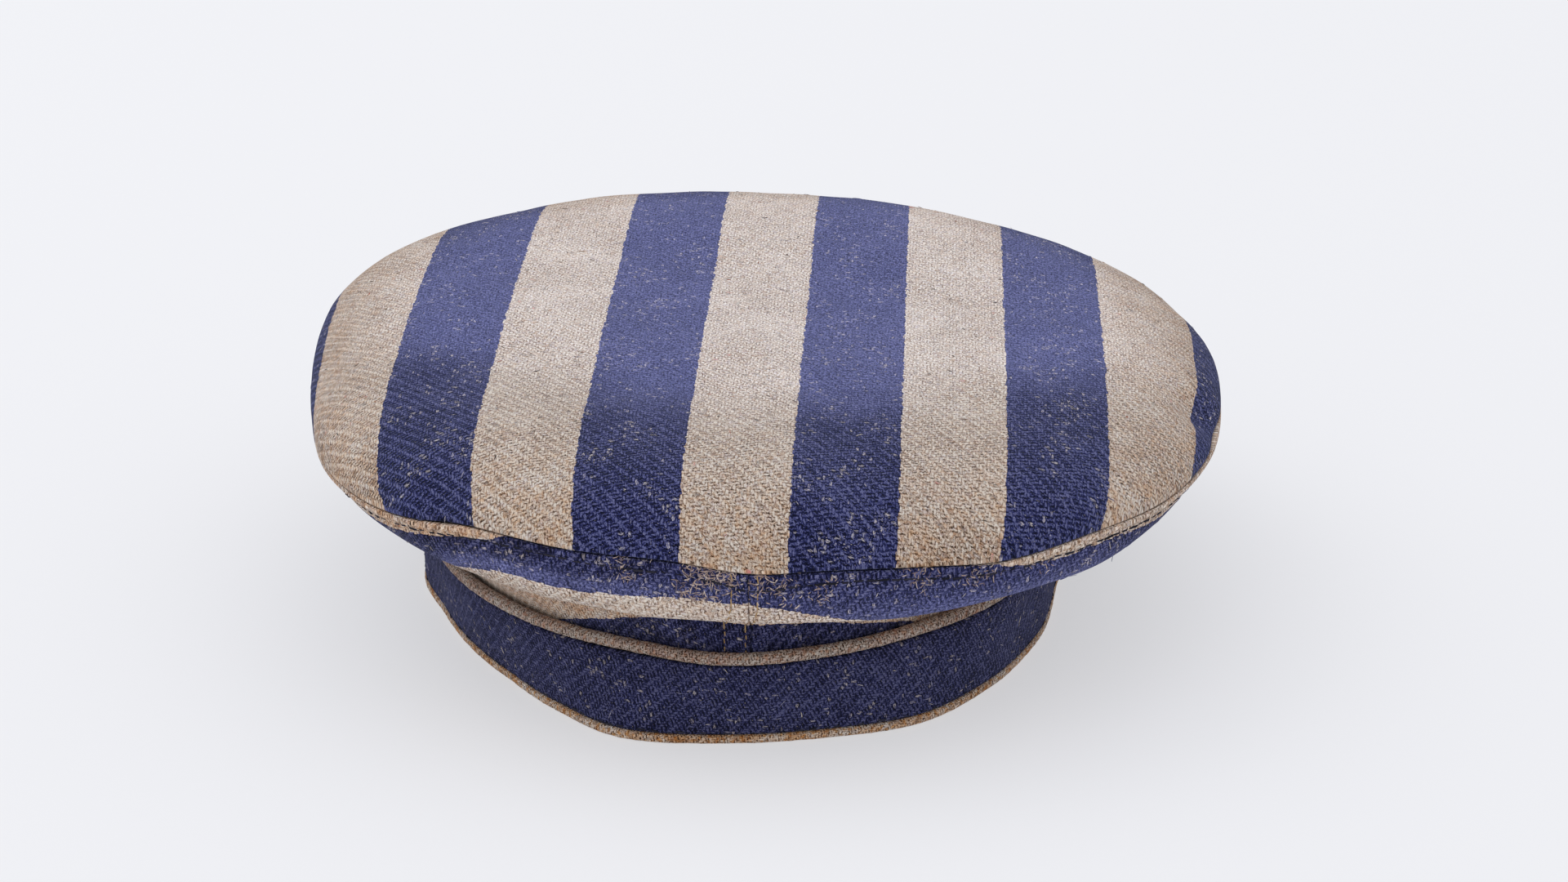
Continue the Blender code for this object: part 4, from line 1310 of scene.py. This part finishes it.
# Name, slot, material, kind, the line up the band's end, and how far outwards its yarns point
for name, slotName, material, kind, line, outwards in (
        ("right_edge_fray", "blue_cloth", frayedYarn, "edge", (1, 0.0020, 0.0225, 0.0006, 0.0004), 0.6),
        ("right_teased_yarn", "blue_cloth", frayedYarn, "teased", (1, 0.0030, 0.0210, -0.0004, 0.0018), 0.5),
        ("left_edge_fray", "blue_cloth", frayedYarn, "edge", (0, 0.0020, 0.0225, 0.0006, 0.0004), 0.6),
        ("left_teased_yarn", "blue_cloth", frayedYarn, "teased", (0, 0.0030, 0.0210, -0.0004, 0.0018), 0.5),
        ("right_foot_fray", "blue_cloth", frayedYarn, "blob", (1, 0.0015, 0.0055, 0.0000, 0.0006), 1.0),
        ("split_curls", "lining", creamYarn, "curls", (1, 0.0030, 0.0175, 0.0024, -0.0006), 0.1),
        ("split_tan_curls", "lining", tanYarn, "tan", (1, 0.0080, 0.0200, 0.0030, -0.0016), 0.0)):
    towardsSplit = Vector((1 - 2 * line[0], outwards, 0.15)).normalized()
    addDetail(frayTree, makePath(splitEdge(*line)), name, slotName, material, Direction=towardsSplit,
              **frayLook[kind])
tornEnds = [splitEdge(*line)[0] for line in frayLook["tornLine"]]
addDetail(frayTree, makePath(np.linspace(*tornEnds, 30)), "torn_yarn", "blue_cloth", frayedYarn,
          Direction=(0.1, 0.6, 0.5), **frayLook["blob"])
addDetail(rollTree, makePath(splitEdge(0, 0.0012, 0.0185, 0.0028, -0.0020)), "lining_edge", "lining", lining,
          **frayLook["lining"])
footCorner = -float(bandAzimuth(np.array([1.0]), np.array([0.0]))[0])
threadTurns, threadOff, threadHeights = np.array(frayLook["threadPath"]).T
threadPoints = bandFace(footCorner + threadTurns, np.zeros(6), -threadOff[:, None])
threadPoints[:, 2] = threadHeights
threadLine = np.stack([curveThrough(list(threadPoints), share) for share in np.linspace(0, 1, 40)])
addDetail(rollTree, makePath(threadLine + capShift), "loose_thread", "lining", whiteThread,
          **frayLook["thread"])

# Sewing
sewLook = {
    "top": {"Pitch": 0.0030, "Length": 0.0021, "Thickness": 0.00050, "Wander": 0.00018},
    "seam": {"Pitch": 0.0021, "Length": 0.0014, "Thickness": 0.00032, "Wander": 0.00010},
    "foot": {"Pitch": 0.0029, "Length": 0.0018, "Thickness": 0.00042, "Wander": 0.00018},
    "topDepth": 0.85,              # of the top row, as a share of the valley that it lies in
    "topNotch": (0.0018, 4.0),     # it drops into a V at the front and back seams: depth, reach in degrees
    "topWave": (0.0003, 0.35),
    # azimuths of the two rows beside each end seam, near the top and deep in the fold
    "frontRows": ((-1.9, -3.8), (1.0, -0.8)),
    "backRows": ((-178.6, -175.1), (-176.7, -172.6)),
    "rowDepths": (0.0010, 0.0420, 160),
    "rowDrift": (0.004, 0.030),    # depths between which a row changes from one azimuth to the other
    "rowLift": 0.00010,
    "topLift": 0.00005,
    "footRise": 0.0003,
    "footInset": 0.00005,
}


def topStitchDepth(azimuth):
    near = np.minimum(np.abs(azimuth), 180 - np.abs(azimuth))
    notch, reach = sewLook["topNotch"]
    wave, turns = sewLook["topWave"]
    level = ringLook["stitchDrop"] * sewLook["topDepth"]
    return level + notch * np.exp(-(near / reach)) + wave * np.sin(azimuth * turns)


turnOnce = np.linspace(-179.5, 179.5, 900)
topRow = onRing(turnOnce, topStitchDepth(turnOnce), sewLook["topLift"])
addDetail(stitchTree, makePath(topRow), "top_stitches", "striped_cloth", darkThread, **sewLook["top"])
depths = np.linspace(*sewLook["rowDepths"])
for label in ("front", "back"):
    for number, (high, low) in enumerate(sewLook[label + "Rows"], 1):
        row = onRing(mix(high, low, smooth(*sewLook["rowDrift"], depths)), depths, sewLook["rowLift"])
        addDetail(stitchTree, makePath(row), f"{label}_seam_stitches_{number}", "striped_cloth", tanThread,
                  **sewLook["seam"])
footLine = bandPath(capSizes["footHeight"] + gap + sewLook["footRise"], sewLook["footInset"])
addDetail(stitchTree, makePath(footLine), "foot_stitches", "tan_fold", darkThread, **sewLook["foot"])
print("details:", {piece.name: len(piece.data.polygons) for piece, _ in details})

for piece, slotName in details:
    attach(piece, "root")

for piece, node, slotName in (
        (crown, "crown_top", "striped_cloth"), (sideRight, "side_right", "striped_cloth"),
        (sideLeft, "side_left", "striped_cloth"), (band, "band", "blue_cloth"),
        (topFold, "band_top_fold", "grey_fold"), (footFold, "band_bottom_fold", "tan_fold"),
        (liningStrip, "band_lining", "lining")):
    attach(piece, "root")
    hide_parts(node)

# Stage and light
stageLook = {
    "floor": (0.337, 0.337, 0.344),
    "floorTint": (0.98, 0.98, 1.0),      # colour of the floor's painted glow, which lightens the shadows on it
    "floorGlow": 0.496,
    "floorSize": 8.0,
    "underCentre": (-0.006, 0.014),      # the oval inside the band where the glow is left out, a painted shadow under the cap
    "underSize": (0.066, 0.100),
    "underEdge": (0.80, 0.98),
    "world": (0.93, 0.95, 1.0),
    "horizon": 0.60,         # how bright the white room is at the horizon and overhead
    "overhead": 1.34,
    "lightAim": (0.0, 0.0, 0.03),
    "keyPower": 6.0,
    "keySize": 1.4,
    "keyPlace": (-1.3, 0.5, 1.5),
    "fillPower": 6.0,
    "fillSize": 1.8,
    "fillPlace": (-0.5, -2.2, 0.55),
}

floorMesh = bpy.data.meshes.new("floor")
reach = stageLook["floorSize"] / 2
floorCorners = [(-reach, -reach, 0), (reach, -reach, 0), (reach, reach, 0), (-reach, reach, 0)]
floorMesh.from_pydata(floorCorners, [], [(0, 1, 2, 3)])
floor = addObject("floor", floorMesh)
floorMaterial, floorKit, paper = newMaterial("paper")
# the paper glows, a painted light that lightens its shadows, except in the oval under the cap, a painted
# shadow
underCap = floorKit.make("ShaderNodeMapping", {
    "Vector": floorKit.make("ShaderNodeTexCoord", output="Object"),
    "Location": (*(np.array(stageLook["underCentre"]) + capShift[:2]), 0.0),
    "Scale": (*stageLook["underSize"], 1.0)}, vector_type="TEXTURE")
fromMiddle = floorKit.make("ShaderNodeVectorMath", {0: underCap}, "Value", operation="LENGTH")
glow = floorKit.step(fromMiddle, *stageLook["underEdge"]) * stageLook["floorGlow"]
floorKit.feed(paper, {"Base Color": stageLook["floor"], "Roughness": 0.9, "Specular IOR Level": 0.1,
                      "Emission Color": stageLook["floorTint"], "Emission Strength": glow})
floorMesh.materials.append(floorMaterial)

world = bpy.data.worlds.new("studio")
world.use_nodes = True
worldKit = NodeKit(world.node_tree)
_, _, skyHeight = worldKit.split(worldKit.make("ShaderNodeTexCoord", output="Generated"))
skyLevel = worldKit.make("ShaderNodeMapRange", {0: skyHeight, 1: 0.0, 2: 1.0, 3: stageLook["horizon"],
                                                4: stageLook["overhead"]})
backdrop = world.node_tree.nodes["Background"]
worldKit.feed(backdrop.inputs, {"Color": stageLook["world"], "Strength": skyLevel})
bpy.context.scene.world = world

for name in ("key", "fill"):
    softBox = bpy.data.lights.new(name, "AREA")
    softBox.energy = stageLook[name + "Power"]
    softBox.size = stageLook[name + "Size"]
    lamp = addObject(name, softBox)
    lamp.location = stageLook[name + "Place"]
    lamp.rotation_euler = (Vector(stageLook["lightAim"]) - lamp.location).to_track_quat("-Z", "Y").to_euler()

# Camera: the photograph's viewing angle on the front, drawn larger
cameraLook = {
    "azimuth": 2.46,
    "elevation": 19.84,
    "distance": 1.0134,
    "aim": (0.0, 0.0, 0.0556),
    "photoFocal": 3252.0,                # pixels, in a frame 1920 wide
    "aimOffset": (-11.66, -49.23),       # pixels from the frame's middle, right and down
    "enlarge": 1.5,
}


def turned(vector, axis, angle):
    return Quaternion(axis, angle) @ vector


def makeCamera():
    look = cameraLook
    azimuth, elevation = math.radians(look["azimuth"]), math.radians(look["elevation"])
    back = Vector((math.sin(azimuth) * math.cos(elevation), -math.cos(azimuth) * math.cos(elevation),
                   math.sin(elevation)))
    right = Vector((math.cos(azimuth), math.sin(azimuth), 0))
    # turned a little, so that the aimed point lies off the frame's middle as it does in the photograph
    yaw, pitch = (math.atan(value / look["photoFocal"]) for value in look["aimOffset"])
    upright = Vector((0, 0, 1))
    right = turned(right, upright, yaw)
    ahead = turned(turned(-back, upright, yaw), right, pitch)
    data = bpy.data.cameras.new("camera")
    data.sensor_width = 36.0
    data.lens = look["photoFocal"] * look["enlarge"] * data.sensor_width / 1920
    data.clip_start = 0.05
    data.clip_end = 30.0
    camera = addObject("camera", data)
    camera.rotation_mode = "QUATERNION"
    camera.rotation_quaternion = Matrix((right, right.cross(ahead), -ahead)).transposed().to_quaternion()
    camera.location = Vector(look["aim"]) + Vector(capShift) + back * look["distance"]
    bpy.context.scene.camera = camera


makeCamera()
bpy.context.scene.view_settings.view_transform = "Standard"
